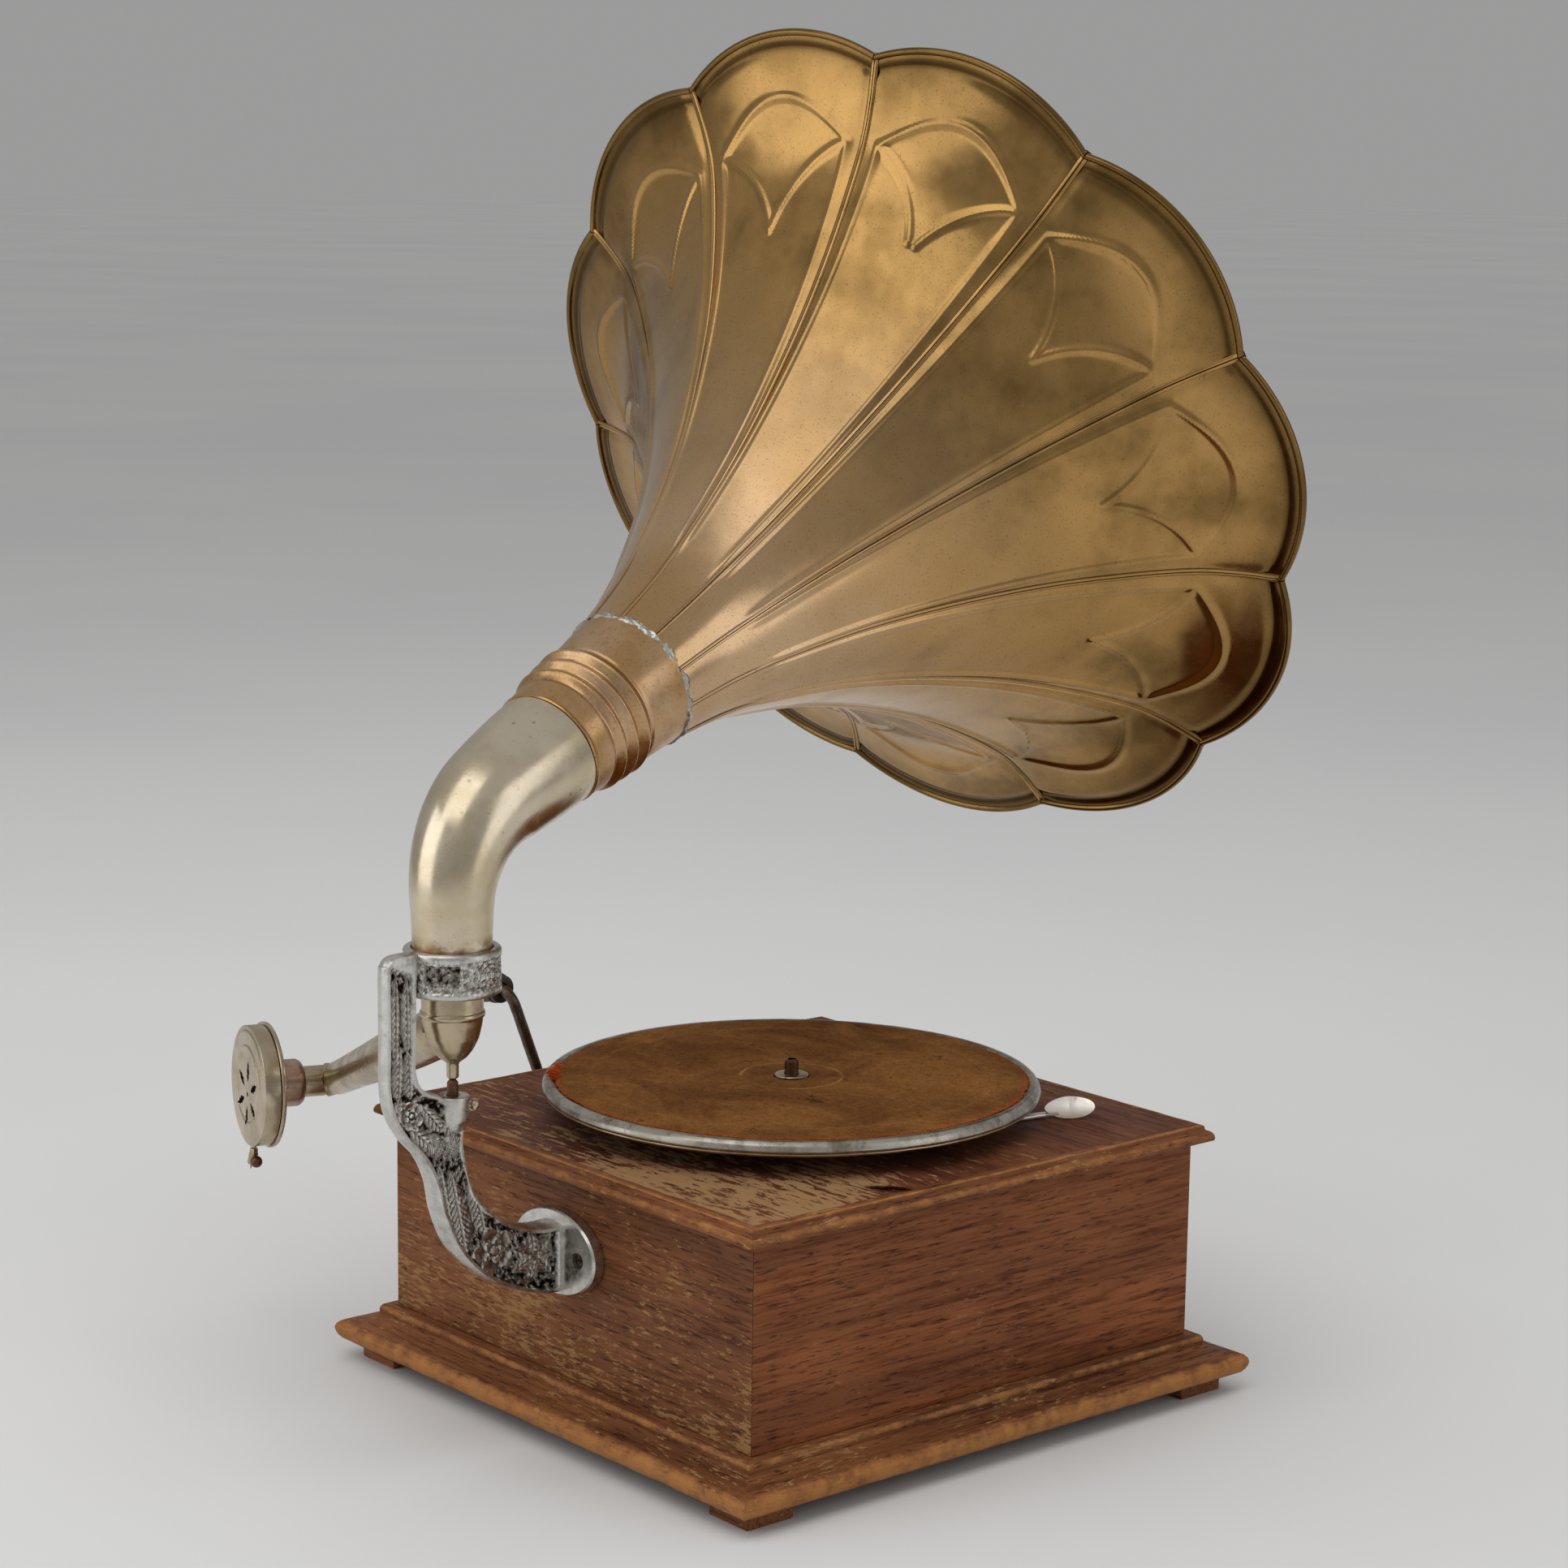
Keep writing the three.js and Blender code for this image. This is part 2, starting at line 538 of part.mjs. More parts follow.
function buildTonearm() {
  const group = new THREE.Group();
  group.name = "tonearm";
  object.add(group);
  const along = ARM_BEND.clone().sub(armHinge).normalize();
  const bulb = turned([[0, 190], [2.9, 190], [2.9, 197.6], [6.8, 200.4], [9.9, 204.4], [12.5, 209.8],
    [14.1, 216.5], [14.5, 220], [15.6, 221], [15.6, 222.4], [14.7, 223.4], [14.7, RING_BOTTOM + 3.6],
    [11, RING_BOTTOM + 3.6], [11, 227], [0, 227]], 20, 0, RING_Y);
  const ballRoom = new THREE.SphereGeometry(11.5, 14, 8).translate(armHinge.x, armHinge.y, armHinge.z);
  const sweep = [0, 12, 24, 34].map((degrees) => {
    const across = new THREE.Vector3(0, 0, 1).cross(armOut).normalize();
    const way = along.clone().applyAxisAngle(across, THREE.MathUtils.degToRad(-degrees));
    return aim(rod(11.5, 0, 40, 16), armHinge, way);
  });
  const across = new THREE.Vector3(0, 0, 1).cross(armOut).normalize();
  const pinRoom = aim(rod(1.7, -20, 20, 12), armHinge, across);
  add(group, "tonearm_bulb", cut(bulb, ballRoom, ...sweep, pinRoom), NICKEL);
  add(group, "tonearm_hinge_pin", aim(rod(1.35, -12.8, 12.8, 12), armHinge, across), STEEL);

  const end = behindFace(36);
  const path = rounded([armHinge.clone().addScaledVector(along, 4), ARM_BEND, end], 9, 4);
  const start = path[0].clone();
  const straight = path[1].clone();
  path.splice(1, 0, start.clone().lerp(straight, 0.12), start.clone().lerp(straight, 0.5));
  const radii = shares(path).map((t) => {
    if (t < 0.03) return 10.4;
    return THREE.MathUtils.lerp(12.4, 8.8, THREE.MathUtils.smoothstep(t, 0.2, 0.98));
  });
  radii[1] = 11.6;
  radii[2] = 11.9;
  const side = end.clone().sub(ARM_BEND).cross(along).normalize();
  const tube = pipe(path, radii, 1.2, side, 14);
  const sleeve = aim(washer(6.3, 8, 29, 41, 14), SOUNDBOX_FACE, boxAxis.clone().negate());
  const ball = new THREE.SphereGeometry(11, 14, 8).translate(armHinge.x, armHinge.y, armHinge.z);
  const joint = cut(ball, aim(rod(8.8, -14, 14, 14), armHinge, along));
  const pinHole = aim(rod(1.65, -14, 14, 12), armHinge, across);
  add(group, "tonearm_tube", cut(join(tube, joint, sleeve), pinHole), NICKEL);
}

function buildSoundbox() {
  const group = new THREE.Group();
  group.name = "soundbox";
  object.add(group);
  const back = boxAxis.clone().negate();
  const place = (geometry, distance) => aim(geometry, behindFace(distance), back);
  const collar = turned(
    [[6.9, 11.9], [12.3, 11.9], [12.3, 26.2], [10.6, 28.7], [6.9, 28.7], [6.9, 11.9]], 24,
  );
  add(group, "soundbox_collar", place(collar, 0), COPPERY);
  const plate = turned([[6.9, 9.4], [SOUNDBOX_R, 9.4], [SOUNDBOX_R, 11.6], [6.9, 11.6], [6.9, 9.4]], 32);
  add(group, "soundbox_back", place(plate, 0), NICKEL);
  const shell = turned(
    [[0, 0], [28.5, 0], [29.2, 0.7], [31.3, 0.7], [31.3, 9.1], [29.6, 9.1], [29.6, 2.2], [0, 2.2]], 32,
  );
  const slots = Array.from({ length: 6 }, (_, k) => {
    const leaf = new THREE.Shape();
    leaf.moveTo(8, 0);
    leaf.quadraticCurveTo(13, 2.6, 19, 0);
    leaf.quadraticCurveTo(13, -2.6, 8, 0);
    const slot = new THREE.ExtrudeGeometry(leaf, { depth: 6, bevelEnabled: false, curveSegments: 3 });
    return slot.translate(0, 0, -2).rotateZ((k * Math.PI) / 3 + 0.3);
  });
  const centreHole = rod(2.4, -2, 4, 12);
  const down = new THREE.Vector3(0, 0, -1).addScaledVector(boxAxis, -SOUNDBOX_DIP).normalize();
  const forward = new THREE.Vector3(0, 0, 1).cross(boxAxis).normalize().negate();
  const needleWay = down
    .clone()
    .multiplyScalar(Math.cos(NEEDLE_SLANT))
    .addScaledVector(forward, Math.sin(NEEDLE_SLANT));
  const hub = behindFace(STYLUS_BEHIND);
  const chuckFrom = hub.clone().addScaledVector(down, 24);
  const notch = aim(rod(2.6, 0, 16, 12), chuckFrom, down);
  const body = cut(cut(place(shell, 0), ...slots.map((s) => place(s, 0)), place(centreHole, 0)), notch);
  add(group, "soundbox_shell", body, NICKEL);
  add(group, "soundbox_diaphragm", place(rod(28.6, 7.6, 8.2, 32), 0), MICA);
  const bar = turned([[0, -22], [1.1, -22], [1.4, 0], [1.4, 8.9], [0, 8.9]], 10);
  add(group, "stylus_bar", aim(bar, chuckFrom, down), NICKEL);
  const chuckTop = chuckFrom.clone().addScaledVector(down, 12);
  const needleHole = aim(rod(0.95, 0.8, 12, 8), chuckTop, needleWay);
  const screwAt = chuckTop.clone().addScaledVector(needleWay, 3.8);
  const screwWay = forward.clone().negate();
  const screwHole = aim(rod(1.1, 1.2, 8, 8), screwAt, screwWay);
  const chuck = cut(
    join(aim(rod(2.4, -2.7, 0.8, 14), chuckTop, down), aim(rod(2.4, 0, 6.6, 14), chuckTop, needleWay)),
    needleHole,
    screwHole,
  );
  add(group, "needle_chuck", chuck, NICKEL);
  const ballAt = screwAt.clone().addScaledVector(screwWay, 6.8);
  const screw = join(
    aim(rod(0.8, 1.8, 6, 8), screwAt, screwWay),
    new THREE.SphereGeometry(3.1, 8, 6).translate(ballAt.x, ballAt.y, ballAt.z),
  );
  add(group, "needle_screw", screw, STEEL);
  const needle = turned([[0, 1], [0.6, 1], [0.6, 8.2], [0, 12]], 8);
  add(group, "needle", aim(needle, chuckTop, needleWay), STEEL);
}

// ---------------------------------------------------------------- turntable
function buildTurntable() {
  const group = new THREE.Group();
  group.name = "turntable";
  object.add(group);
  const [r, low, high] = [PLATTER_R, PLATTER_BOTTOM, PLATTER_TOP];
  const bore = SPINDLE_R + GAP;
  const platter = turned([
    [bore, low + 2.1], [20, low + 4.4], [119, low + 4.4], [123, low], [125.4, low], [r, low + 3],
    [126.4, low + 6], [124.4, high], [122.2, high], [121, PLATTER_SEAT], [bore, PLATTER_SEAT],
    [bore, low + 2.1],
  ], 44);
  add(group, "platter", platter, NICKEL);
  add(group, "felt", washer(FELT_BORE, FELT_R, PLATTER_SEAT + GAP, high + GAP, 44), FELT);
  const ring = washer(bore, FELT_BORE - 0.5, PLATTER_SEAT + GAP, high + 1.5, 24);
  add(group, "spindle_washer", ring, NICKEL);
  const bearing = Math.atan2(...centreArbor().reverse());
  const spindle = join(
    turned([[0, 58], [2.2, 58], [3.4, 60.4], [3.4, LOWER_PLATE_TOP + 0.6], [SPINDLE_R, LOWER_PLATE_TOP + 0.6],
      [SPINDLE_R, SPINDLE_TOP - 1], [SPINDLE_R - 1, SPINDLE_TOP], [0, SPINDLE_TOP]], 20),
    gear(SPINDLE_TEETH, 99, 105, gapAt(bearing, SPINDLE_TEETH)),
    gear(WORM_WHEEL_TEETH, 113, 117),
  );
  add(group, "spindle", spindle, STEEL);
}

// ---------------------------------------------------------------- speed lever
function buildLever() {
  const group = new THREE.Group();
  group.name = "speed_control";
  object.add(group);
  const [px, py] = LEVER_PIVOT;
  const pad = new THREE.Vector2(-100.5, -109);
  const bend = new THREE.Vector2(-88.4, -94);
  const strip = (from, to, half, z0, z1) => {
    const way = to.clone().sub(from);
    const square = new THREE.Vector2(-way.y, way.x).normalize().multiplyScalar(half);
    const near = [from.clone().add(square), from.clone().sub(square)];
    const far = [to.clone().sub(square), to.clone().add(square)];
    const shape = new THREE.Shape([...near, ...far]);
    const g = new THREE.ExtrudeGeometry(shape, { depth: z1 - z0, bevelEnabled: false });
    return g.translate(0, 0, z0);
  };
  const pivot = new THREE.Vector2(px, py);
  const lever = join(
    strip(pivot, bend.clone().lerp(pad, 0.1), 2.4, 140.4, 142),
    strip(bend.clone().lerp(pivot, 0.04), pad, 2.8, 140.4, 142),
    turned([[0, 140.4], [7, 140.4], [7.4, 142.2], [6, 142.9], [0, 142.4]], 24, pad.x, pad.y),
    rod(5, 140.4, 142.4, 20, px, py),
    rod(2.7, 118, 144, 16, px, py),
  );
  add(group, "speed_lever", lever, NICKEL);
  const arm = join(
    strip(pivot, new THREE.Vector2(-40, -30), 3, 120, 122),
    rod(5, 118.3, 122, 20, px, py),
    rod(4, 112, 122, 16, -40, -30),
  );
  add(group, "brake_arm", cut(arm, rod(3, 110, 130, 16, px, py)), STEEL);
}

// ---------------------------------------------------------------- crank
function buildCrank() {
  const group = new THREE.Group();
  group.name = "crank";
  object.add(group);
  const top = new THREE.Vector3(CRANK_ARM_X + 2, CRANK_TOP_Y, CRANK_TOP_Z);
  const corners = [
    new THREE.Vector3(66, CRANK_Y, CRANK_Z),
    new THREE.Vector3(CRANK_ARM_X, CRANK_Y, CRANK_Z),
    top,
    new THREE.Vector3(CRANK_ARM_X + 58, CRANK_TOP_Y, CRANK_TOP_Z),
  ];
  const path = rounded(corners, 9, 4);
  const swing = new THREE.Vector3(0, CRANK_Z - CRANK_TOP_Z, CRANK_TOP_Y - CRANK_Y).normalize();
  const loops = circles(path, path.map(() => CRANK_R), swing, 10);
  const pinion = alongX(gear(WINDING_TEETH, 53, 60), 0, CRANK_Y, CRANK_Z);
  const hub = alongX(rod(5, 59, 70, 16), 0, CRANK_Y, CRANK_Z);
  add(group, "crank_rod", join(skin(loops), hub, pinion), STEEL);
  const grip = turned([
    [3.4, 10], [7.5, 10], [8.5, 12], [8, 15], [10.6, 26], [11, 34], [9.4, 45], [7.4, 51],
    [3.4, 51], [3.4, 10],
  ], 20);
  add(group, "crank_handle", alongX(grip, top.x, top.y, top.z), HANDLE);
  add(group, "crank_ferrule", alongX(washer(3.4, 7.6, 7.4, 9.7, 20), top.x, top.y, top.z), STEEL);
  const plate = turned([[3.5, 0], [12, 0], [12, 1.2], [7, 2.6], [3.5, 2.6], [3.5, 0]], 24);
  add(object, "crank_escutcheon", alongX(plate, CASE_HALF_X + GAP, CRANK_Y, CRANK_Z), NICKEL);
}

// ---------------------------------------------------------------- motor
// Spur gear about Z with plain-sided teeth; phase turns it by a share of one tooth.
function gear(teeth, z0, z1, phase = 0) {
  const pitch = (teeth * MODULE) / 2;
  const [tip, root] = [pitch + 0.75 * MODULE, pitch - 1.05 * MODULE];
  const step = (2 * Math.PI) / teeth;
  const points = [];
  for (let k = 0; k < teeth; k += 1) {
    const a = (k + phase) * step;
    [[-0.26, root], [0, tip], [0.26, root]].forEach(([share, r]) => {
      points.push(new THREE.Vector2(r * Math.cos(a + share * step), r * Math.sin(a + share * step)));
    });
  }
  const shape = new THREE.Shape(points);
  const g = new THREE.ExtrudeGeometry(shape, { depth: z1 - z0, bevelEnabled: false, curveSegments: 8 });
  return g.translate(0, 0, z0);
}

// Place of the centre arbor: at both gear pairs' centre distances.
function centreArbor() {
  const toBarrel = ((BARREL_TEETH + CENTRE_PINION_TEETH) * MODULE) / 2;
  const toSpindle = ((CENTRE_TEETH + SPINDLE_TEETH) * MODULE) / 2;
  const span = Math.hypot(BARREL_X, CRANK_Y);
  const along = (span * span + toSpindle * toSpindle - toBarrel * toBarrel) / (2 * span);
  const off = Math.sqrt(toSpindle * toSpindle - along * along);
  const [ux, uy] = [BARREL_X / span, CRANK_Y / span];
  return [ux * along + uy * off, uy * along - ux * off];
}

// Phase that puts a gap of a gear of that many teeth at the bearing, in shares of a tooth.
function gapAt(bearing, teeth) {
  return (bearing / (2 * Math.PI)) * teeth + 0.5;
}

function toothAt(bearing, teeth) {
  return (bearing / (2 * Math.PI)) * teeth;
}

function buildMotor() {
  const group = new THREE.Group();
  group.name = "motor";
  object.add(group);
  const [ax, ay] = centreArbor();
  const plateLow = PLATE_TOP - PLATE;
  const [left, right, front, rear] = [-42, 88, -48, 66];
  const pillars = [[-37, 60], [83, 61], [-37, -43], [83, -43]];
  const frame = join(
    box([left, front, plateLow], [right, rear, PLATE_TOP]),
    box([left, front, LOWER_PLATE_TOP - PLATE], [right, rear, LOWER_PLATE_TOP]),
    ...pillars.map(([x, y]) => rod(3.5, LOWER_PLATE_TOP - 1, plateLow + 1, 12, x, y)),
  );
  const holes = [
    rod(3.5, 50, 100, 16),
    rod(SPINDLE_R + 0.1, 100, 140, 16),
    rod(2.1, 50, 140, 12, ax, ay),
    rod(3.1, 50, 100, 12, BARREL_X, CRANK_Y),
  ];
  const studs = MOTOR_BOLTS.map(([x, y]) =>
    turned([
      [0, 129], [1.9, 129], [1.9, LID_TOP + GAP], [4.2, LID_TOP + GAP], [4.2, 141.6], [0, 142],
    ], 12, x, y),
  );
  add(group, "motor_frame", join(cut(frame, ...holes), ...studs), STEEL);

  // Gear train, from the spring barrel to the spindle.
  const barrelBearing = Math.atan2(ay - CRANK_Y, ax - BARREL_X);
  const spindleBearing = Math.atan2(ay, ax);
  const barrel = cut(
    join(rod(30, 67, 84.6, 32), gear(BARREL_TEETH, 84, 86.6, gapAt(barrelBearing, BARREL_TEETH))),
    rod(28.6, 66, 83.4, 32), rod(3.3, 60, 90, 16),
  );
  add(group, "spring_barrel", barrel.translate(BARREL_X, CRANK_Y, 0), BRASS);
  const turns = 5;
  const steps = 14 * turns;
  const coil = Array.from({ length: steps + 1 }, (_, i) => {
    const a = (i / 14) * 2 * Math.PI;
    const r = THREE.MathUtils.lerp(9, 27, i / steps);
    return [[r, 70], [r + 0.8, 70], [r + 0.8, 82], [r, 82]].map(
      ([q, z]) => new THREE.Vector3(BARREL_X + q * Math.cos(a), CRANK_Y + q * Math.sin(a), z),
    );
  });
  add(group, "mainspring", skin(coil), STEEL);
  const arbor = join(
    rod(3, 60, 89.4, 12, BARREL_X, CRANK_Y),
    gear(CROWN_TEETH, 87.2, 89.4).translate(BARREL_X, CRANK_Y, 0),
  );
  add(group, "winding_arbor", arbor, STEEL);
  const centre = join(
    rod(2, 59, PLATE_TOP - 0.5, 12),
    gear(CENTRE_PINION_TEETH, 82.8, 88, toothAt(barrelBearing + Math.PI, CENTRE_PINION_TEETH)),
    gear(CENTRE_TEETH, 100.5, 103.5, toothAt(spindleBearing + Math.PI, CENTRE_TEETH)),
  );
  add(group, "centre_arbor", centre.translate(ax, ay, 0), STEEL);

  // Governor: a worm, a brake disc and three weights on leaf springs.
  const [gy, gz] = [-(WORM_WHEEL_TEETH * MODULE) / 2 - 4.6, 115];
  const onShaft = (g) => alongX(g, 0, gy, gz);
  const shaft = turned([
    [0, -30], [1.5, -30], [1.5, -7], [3.6, -6], [3.6, 6], [1.5, 7], [1.5, 20],
    [10, 20], [10, 21.6], [1.5, 21.6], [1.5, 52], [4.4, 52], [4.4, 56], [1.5, 56], [1.5, 62], [0, 62],
  ], 20);
  add(group, "governor_shaft", onShaft(shaft), STEEL);
  for (let k = 0; k < 3; k += 1) {
    const bow = rounded([[4, 22], [8.6, 37], [5, 51.6]].map(([r, x]) => new THREE.Vector3(r, 0, x)), 20, 3);
    const leaf = bow.map((p) =>
      [[-0.25, -2], [0.25, -2], [0.25, 2], [-0.25, 2]].map(([u, v]) => new THREE.Vector3(p.x + u, v, p.z)),
    );
    const weight = join(skin(leaf), new THREE.SphereGeometry(3, 10, 8).translate(9.2, 0, 37));
    add(group, "governor_weight_" + (k + 1), onShaft(weight.rotateZ((k * 2 * Math.PI) / 3)), BRASS);
  }
}

buildCase();
buildBracket();
buildHorn();
buildTonearm();
buildSoundbox();
buildTurntable();
buildLever();
buildCrank();
buildMotor();

export default object;
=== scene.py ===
"""Wind-up phonograph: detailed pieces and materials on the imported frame, with floor, lights and camera.

Pieces are laid out in millimetres from the case's centre, +Z up, the bracket at +Y and the crank at +X.
"""

import math

import bmesh
import bpy
import numpy as np
from mathutils import Matrix, Vector, noise


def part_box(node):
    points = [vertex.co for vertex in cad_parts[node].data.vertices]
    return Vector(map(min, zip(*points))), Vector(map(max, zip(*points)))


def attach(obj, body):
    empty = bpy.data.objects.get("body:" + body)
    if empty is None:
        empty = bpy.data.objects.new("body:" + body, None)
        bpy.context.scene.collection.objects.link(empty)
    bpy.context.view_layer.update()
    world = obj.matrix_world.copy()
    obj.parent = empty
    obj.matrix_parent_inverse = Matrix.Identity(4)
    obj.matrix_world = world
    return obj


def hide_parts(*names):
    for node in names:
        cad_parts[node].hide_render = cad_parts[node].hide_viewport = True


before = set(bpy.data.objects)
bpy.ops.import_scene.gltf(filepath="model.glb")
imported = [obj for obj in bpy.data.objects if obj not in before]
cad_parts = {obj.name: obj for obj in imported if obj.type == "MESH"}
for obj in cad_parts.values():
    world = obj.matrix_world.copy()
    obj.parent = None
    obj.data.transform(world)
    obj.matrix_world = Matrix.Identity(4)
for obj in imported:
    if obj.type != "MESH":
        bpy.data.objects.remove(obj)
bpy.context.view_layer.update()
random = np.random.default_rng(7)

MM = 0.001
lid_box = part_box("case_lid")
ORIGIN = np.array([(lid_box[0].x + lid_box[1].x) / 2, (lid_box[0].y + lid_box[1].y) / 2, 0])
UP = np.array([0.0, 0.0, 1.0])


def span(node):
    """A CAD node's lowest and highest corners, in the case's millimetres."""
    low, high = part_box(node)
    return (np.array(low) - ORIGIN) / MM, (np.array(high) - ORIGIN) / MM


def unit(v):
    v = np.asarray(v, float)
    return v / np.linalg.norm(v)


def smooth(x, low, high):
    """0 below low, 1 above high, and an even curve between."""
    t = np.clip((np.asarray(x, float) - low) / (high - low), 0, 1)
    return t * t * (3 - 2 * t)


def ridge(distance, width):
    return np.exp(-((distance / width) ** 2))


# ---------------------------------------------------------------- driving dimensions
CASE_X, CASE_Y = span("case_back")[1][:2]
BOARD = span("case_back")[1][1] - span("case_back")[0][1]
WALL_LOW, WALL_HIGH = span("case_back")[0][2], span("case_back")[1][2]
LID_LOW, LID_TOP = span("case_lid")[0][2], span("case_lid")[1][2]
BASE_LOW, BASE_TOP = span("base_moulding")[0][2], span("base_moulding")[1][2]
BASE_HOLE = 126
MITRE_GAP = 0.12

RING_Y = 210.4
RING_LOW, RING_TOP, RING_R, RING_BORE, NECK_BORE = 232, 253.9, 23.2, 19.2, 15.1
BOSS_R, BOSS_LOW, BOSS_TOP = 8, 166, 181.9
FLANGE_FACE, FLANGE_Z, FLANGE_SCREW_X = CASE_Y + 6.8, 93.8, 20

HEADING, RISE = math.radians(12.55), math.radians(23.1)
HORN_AXIS = np.array([math.sin(HEADING) * math.cos(RISE), -math.cos(HEADING) * math.cos(RISE), math.sin(RISE)])
HORN_SIDE = unit(np.cross(HORN_AXIS, UP))
HORN_UP = np.cross(HORN_SIDE, HORN_AXIS)
HORN_MEET = np.array([0, RING_Y, 309.6])
ELBOW_END, THROAT = 73.4, 141.2
ELBOW_BEND = 50
GORES = 11
HALF_GORE = math.pi / GORES
SEAM_PHASE = math.radians(114.6)
SCALLOP = 15
SHEET = 1
RIM_WIRE = 1.9

PLATTER_R, PLATTER_LOW, PLATTER_TOP = 127, span("platter")[0][2], span("platter")[1][2]
SPINDLE_R, SPINDLE_TOP = 3.6, span("spindle")[1][2]
FELT_R, FELT_TOP = 120.4, span("felt")[1][2]

ARM_BEND = np.array([182.1, 157.2, 143.2])
BOX_FACE = np.array([193.5, 203.1, 144.8])
BOX_HEADING = math.radians(74.2)
BOX_DIP = -0.02
BOX_AXIS = unit([math.cos(BOX_HEADING), math.sin(BOX_HEADING), -BOX_DIP])
BOX_R = 32.5
STYLUS_BEHIND = 3.8
SLOTS_DOWN = 4.5

CRANK_Y, CRANK_Z, CRANK_ARM_X = 20.5, 98, 172
CRANK_TOP = np.array([CRANK_ARM_X + 2, 50, 176.5])

# ---------------------------------------------------------------- meshes


def quads(rows, columns, wrap_rows=False, wrap_columns=False):
    """Faces of a grid of points, row by row."""
    r = np.arange(rows if wrap_rows else rows - 1)[:, None]
    c = np.arange(columns if wrap_columns else columns - 1)[None, :]
    r2, c2 = (r + 1) % rows, (c + 1) % columns
    corners = [r * columns + c, r * columns + c2, r2 * columns + c2, r2 * columns + c]
    return np.stack(corners, -1).reshape(-1, 4)


def surface(grid, wrap_rows=False, wrap_columns=False):
    grid = np.asarray(grid, float)
    return grid.reshape(-1, 3), quads(grid.shape[0], grid.shape[1], wrap_rows, wrap_columns)


def joined(*parts):
    """Several (points, faces) pairs as one."""
    points, faces, start = [], [], 0
    for p, f in parts:
        points.append(p)
        faces.extend((np.asarray(f) + start).tolist())
        start += len(p)
    return np.concatenate(points), faces


def placed(part, origin, direction, spin=0.0):
    """A part made about +Z, turned so that +Z points along the direction, and moved to the origin."""
    turn = Vector((0, 0, 1)).rotation_difference(Vector(unit(direction))).to_matrix()
    turn = np.array(turn @ Matrix.Rotation(spin, 3, "Z"))
    return part[0] @ turn.T + np.asarray(origin, float), part[1]


def turned(profile, count=96):
    """A closed profile of (radius, height) pairs turned about Z."""
    radius, height = np.array(profile, float).T
    angle = np.linspace(0, 2 * math.pi, count, endpoint=False)[:, None]
    grid = np.stack([radius * np.cos(angle), radius * np.sin(angle), height + 0 * angle], -1)
    return surface(grid, True, True)


def softened(outline, radius, steps=3):
    """A closed outline with its corners rounded, except those on the axis."""
    outline = np.array(outline, float)
    result = []
    for before, corner, after in zip(np.roll(outline, 1, 0), outline, np.roll(outline, -1, 0)):
        into, out = before - corner, after - corner
        a, b = np.linalg.norm(into), np.linalg.norm(out)
        if corner[0] < 1e-6:
            result.append(corner)
            continue
        reach = min(radius, 0.45 * a, 0.45 * b)
        start, end = corner + into / a * reach, corner + out / b * reach
        for f in np.linspace(0, 1, steps + 1):
            result.append((1 - f) ** 2 * start + 2 * f * (1 - f) * corner + f * f * end)
    return np.array(result)


def sweep(path, radii, count=40, side=None):
    """Circles across a path as a grid: rows run along it."""
    path = np.asarray(path, float)
    radii = np.broadcast_to(radii, len(path))
    along = np.gradient(path, axis=0)
    along /= np.linalg.norm(along, axis=1)[:, None]
    if side is None:
        side = unit(np.cross(along[0], [0.31, 0.52, 0.79]))
    angle = np.linspace(0, 2 * math.pi, count, endpoint=False)
    rows = []
    for p, way, r in zip(path, along, radii):
        side = unit(side - way * np.dot(side, way))
        up = np.cross(side, way)
        rows.append(p + r * (np.cos(angle)[:, None] * side + np.sin(angle)[:, None] * up))
    return np.array(rows)


def rod(path, radii, count=40):
    """A solid sweep with its ends closed."""
    grid = sweep(path, radii, count)
    ends = [np.repeat(row.mean(0)[None], count, 0) for row in (grid[0], grid[-1])]
    return surface(np.concatenate([ends[:1], grid, ends[1:]]), False, True)


def pipe(path, radii, wall, count=96, side=None):
    """A hollow sweep with a wall."""
    outer = sweep(path, radii, count, side)
    inner = sweep(path, np.asarray(radii) - wall, count, side)
    return surface(np.concatenate([outer, inner[::-1]]), True, True)


def block(low, high, bevel=0.5):
    """A box with bevelled edges."""
    bm = bmesh.new()
    bmesh.ops.create_cube(bm, size=1)
    low, high = np.asarray(low, float), np.asarray(high, float)
    for v in bm.verts:
        v.co = Vector((np.array(v.co) + 0.5) * (high - low) + low)
    bmesh.ops.bevel(bm, geom=bm.edges[:], offset=bevel, segments=3, profile=0.5, affect="EDGES")
    bm.verts.index_update()
    points = np.array([v.co for v in bm.verts])
    faces = [[v.index for v in f.verts] for f in bm.faces]
    bm.free()
    return points, faces


def rounded(corners, radius, steps=10):
    """A path with straight runs and one radius at each corner."""
    corners = [np.asarray(c, float) for c in corners]
    points = [corners[0]]
    for before, corner, after in zip(corners, corners[1:], corners[2:]):
        into, out = unit(corner - before), unit(after - corner)
        half = math.acos(np.clip(np.dot(into, out), -1, 1)) / 2
        start = corner - into * radius * math.tan(half)
        centre = corner + unit(out - into) * radius / math.cos(half)
        axis = Vector(unit(np.cross(into, out)))
        for k in range(steps + 1):
            turn = Matrix.Rotation(2 * half * k / steps, 3, axis)
            points.append(centre + np.array(turn @ Vector(start - centre)))
    points.append(corners[-1])
    return np.array(points)


def evenly(path, count):
    """A path resampled to that many evenly spaced points."""
    path = np.asarray(path, float)
    run = np.concatenate([[0], np.cumsum(np.linalg.norm(np.diff(path, axis=0), axis=1))])
    at = np.linspace(0, run[-1], count)
    return np.stack([np.interp(at, run, column) for column in path.T], -1)


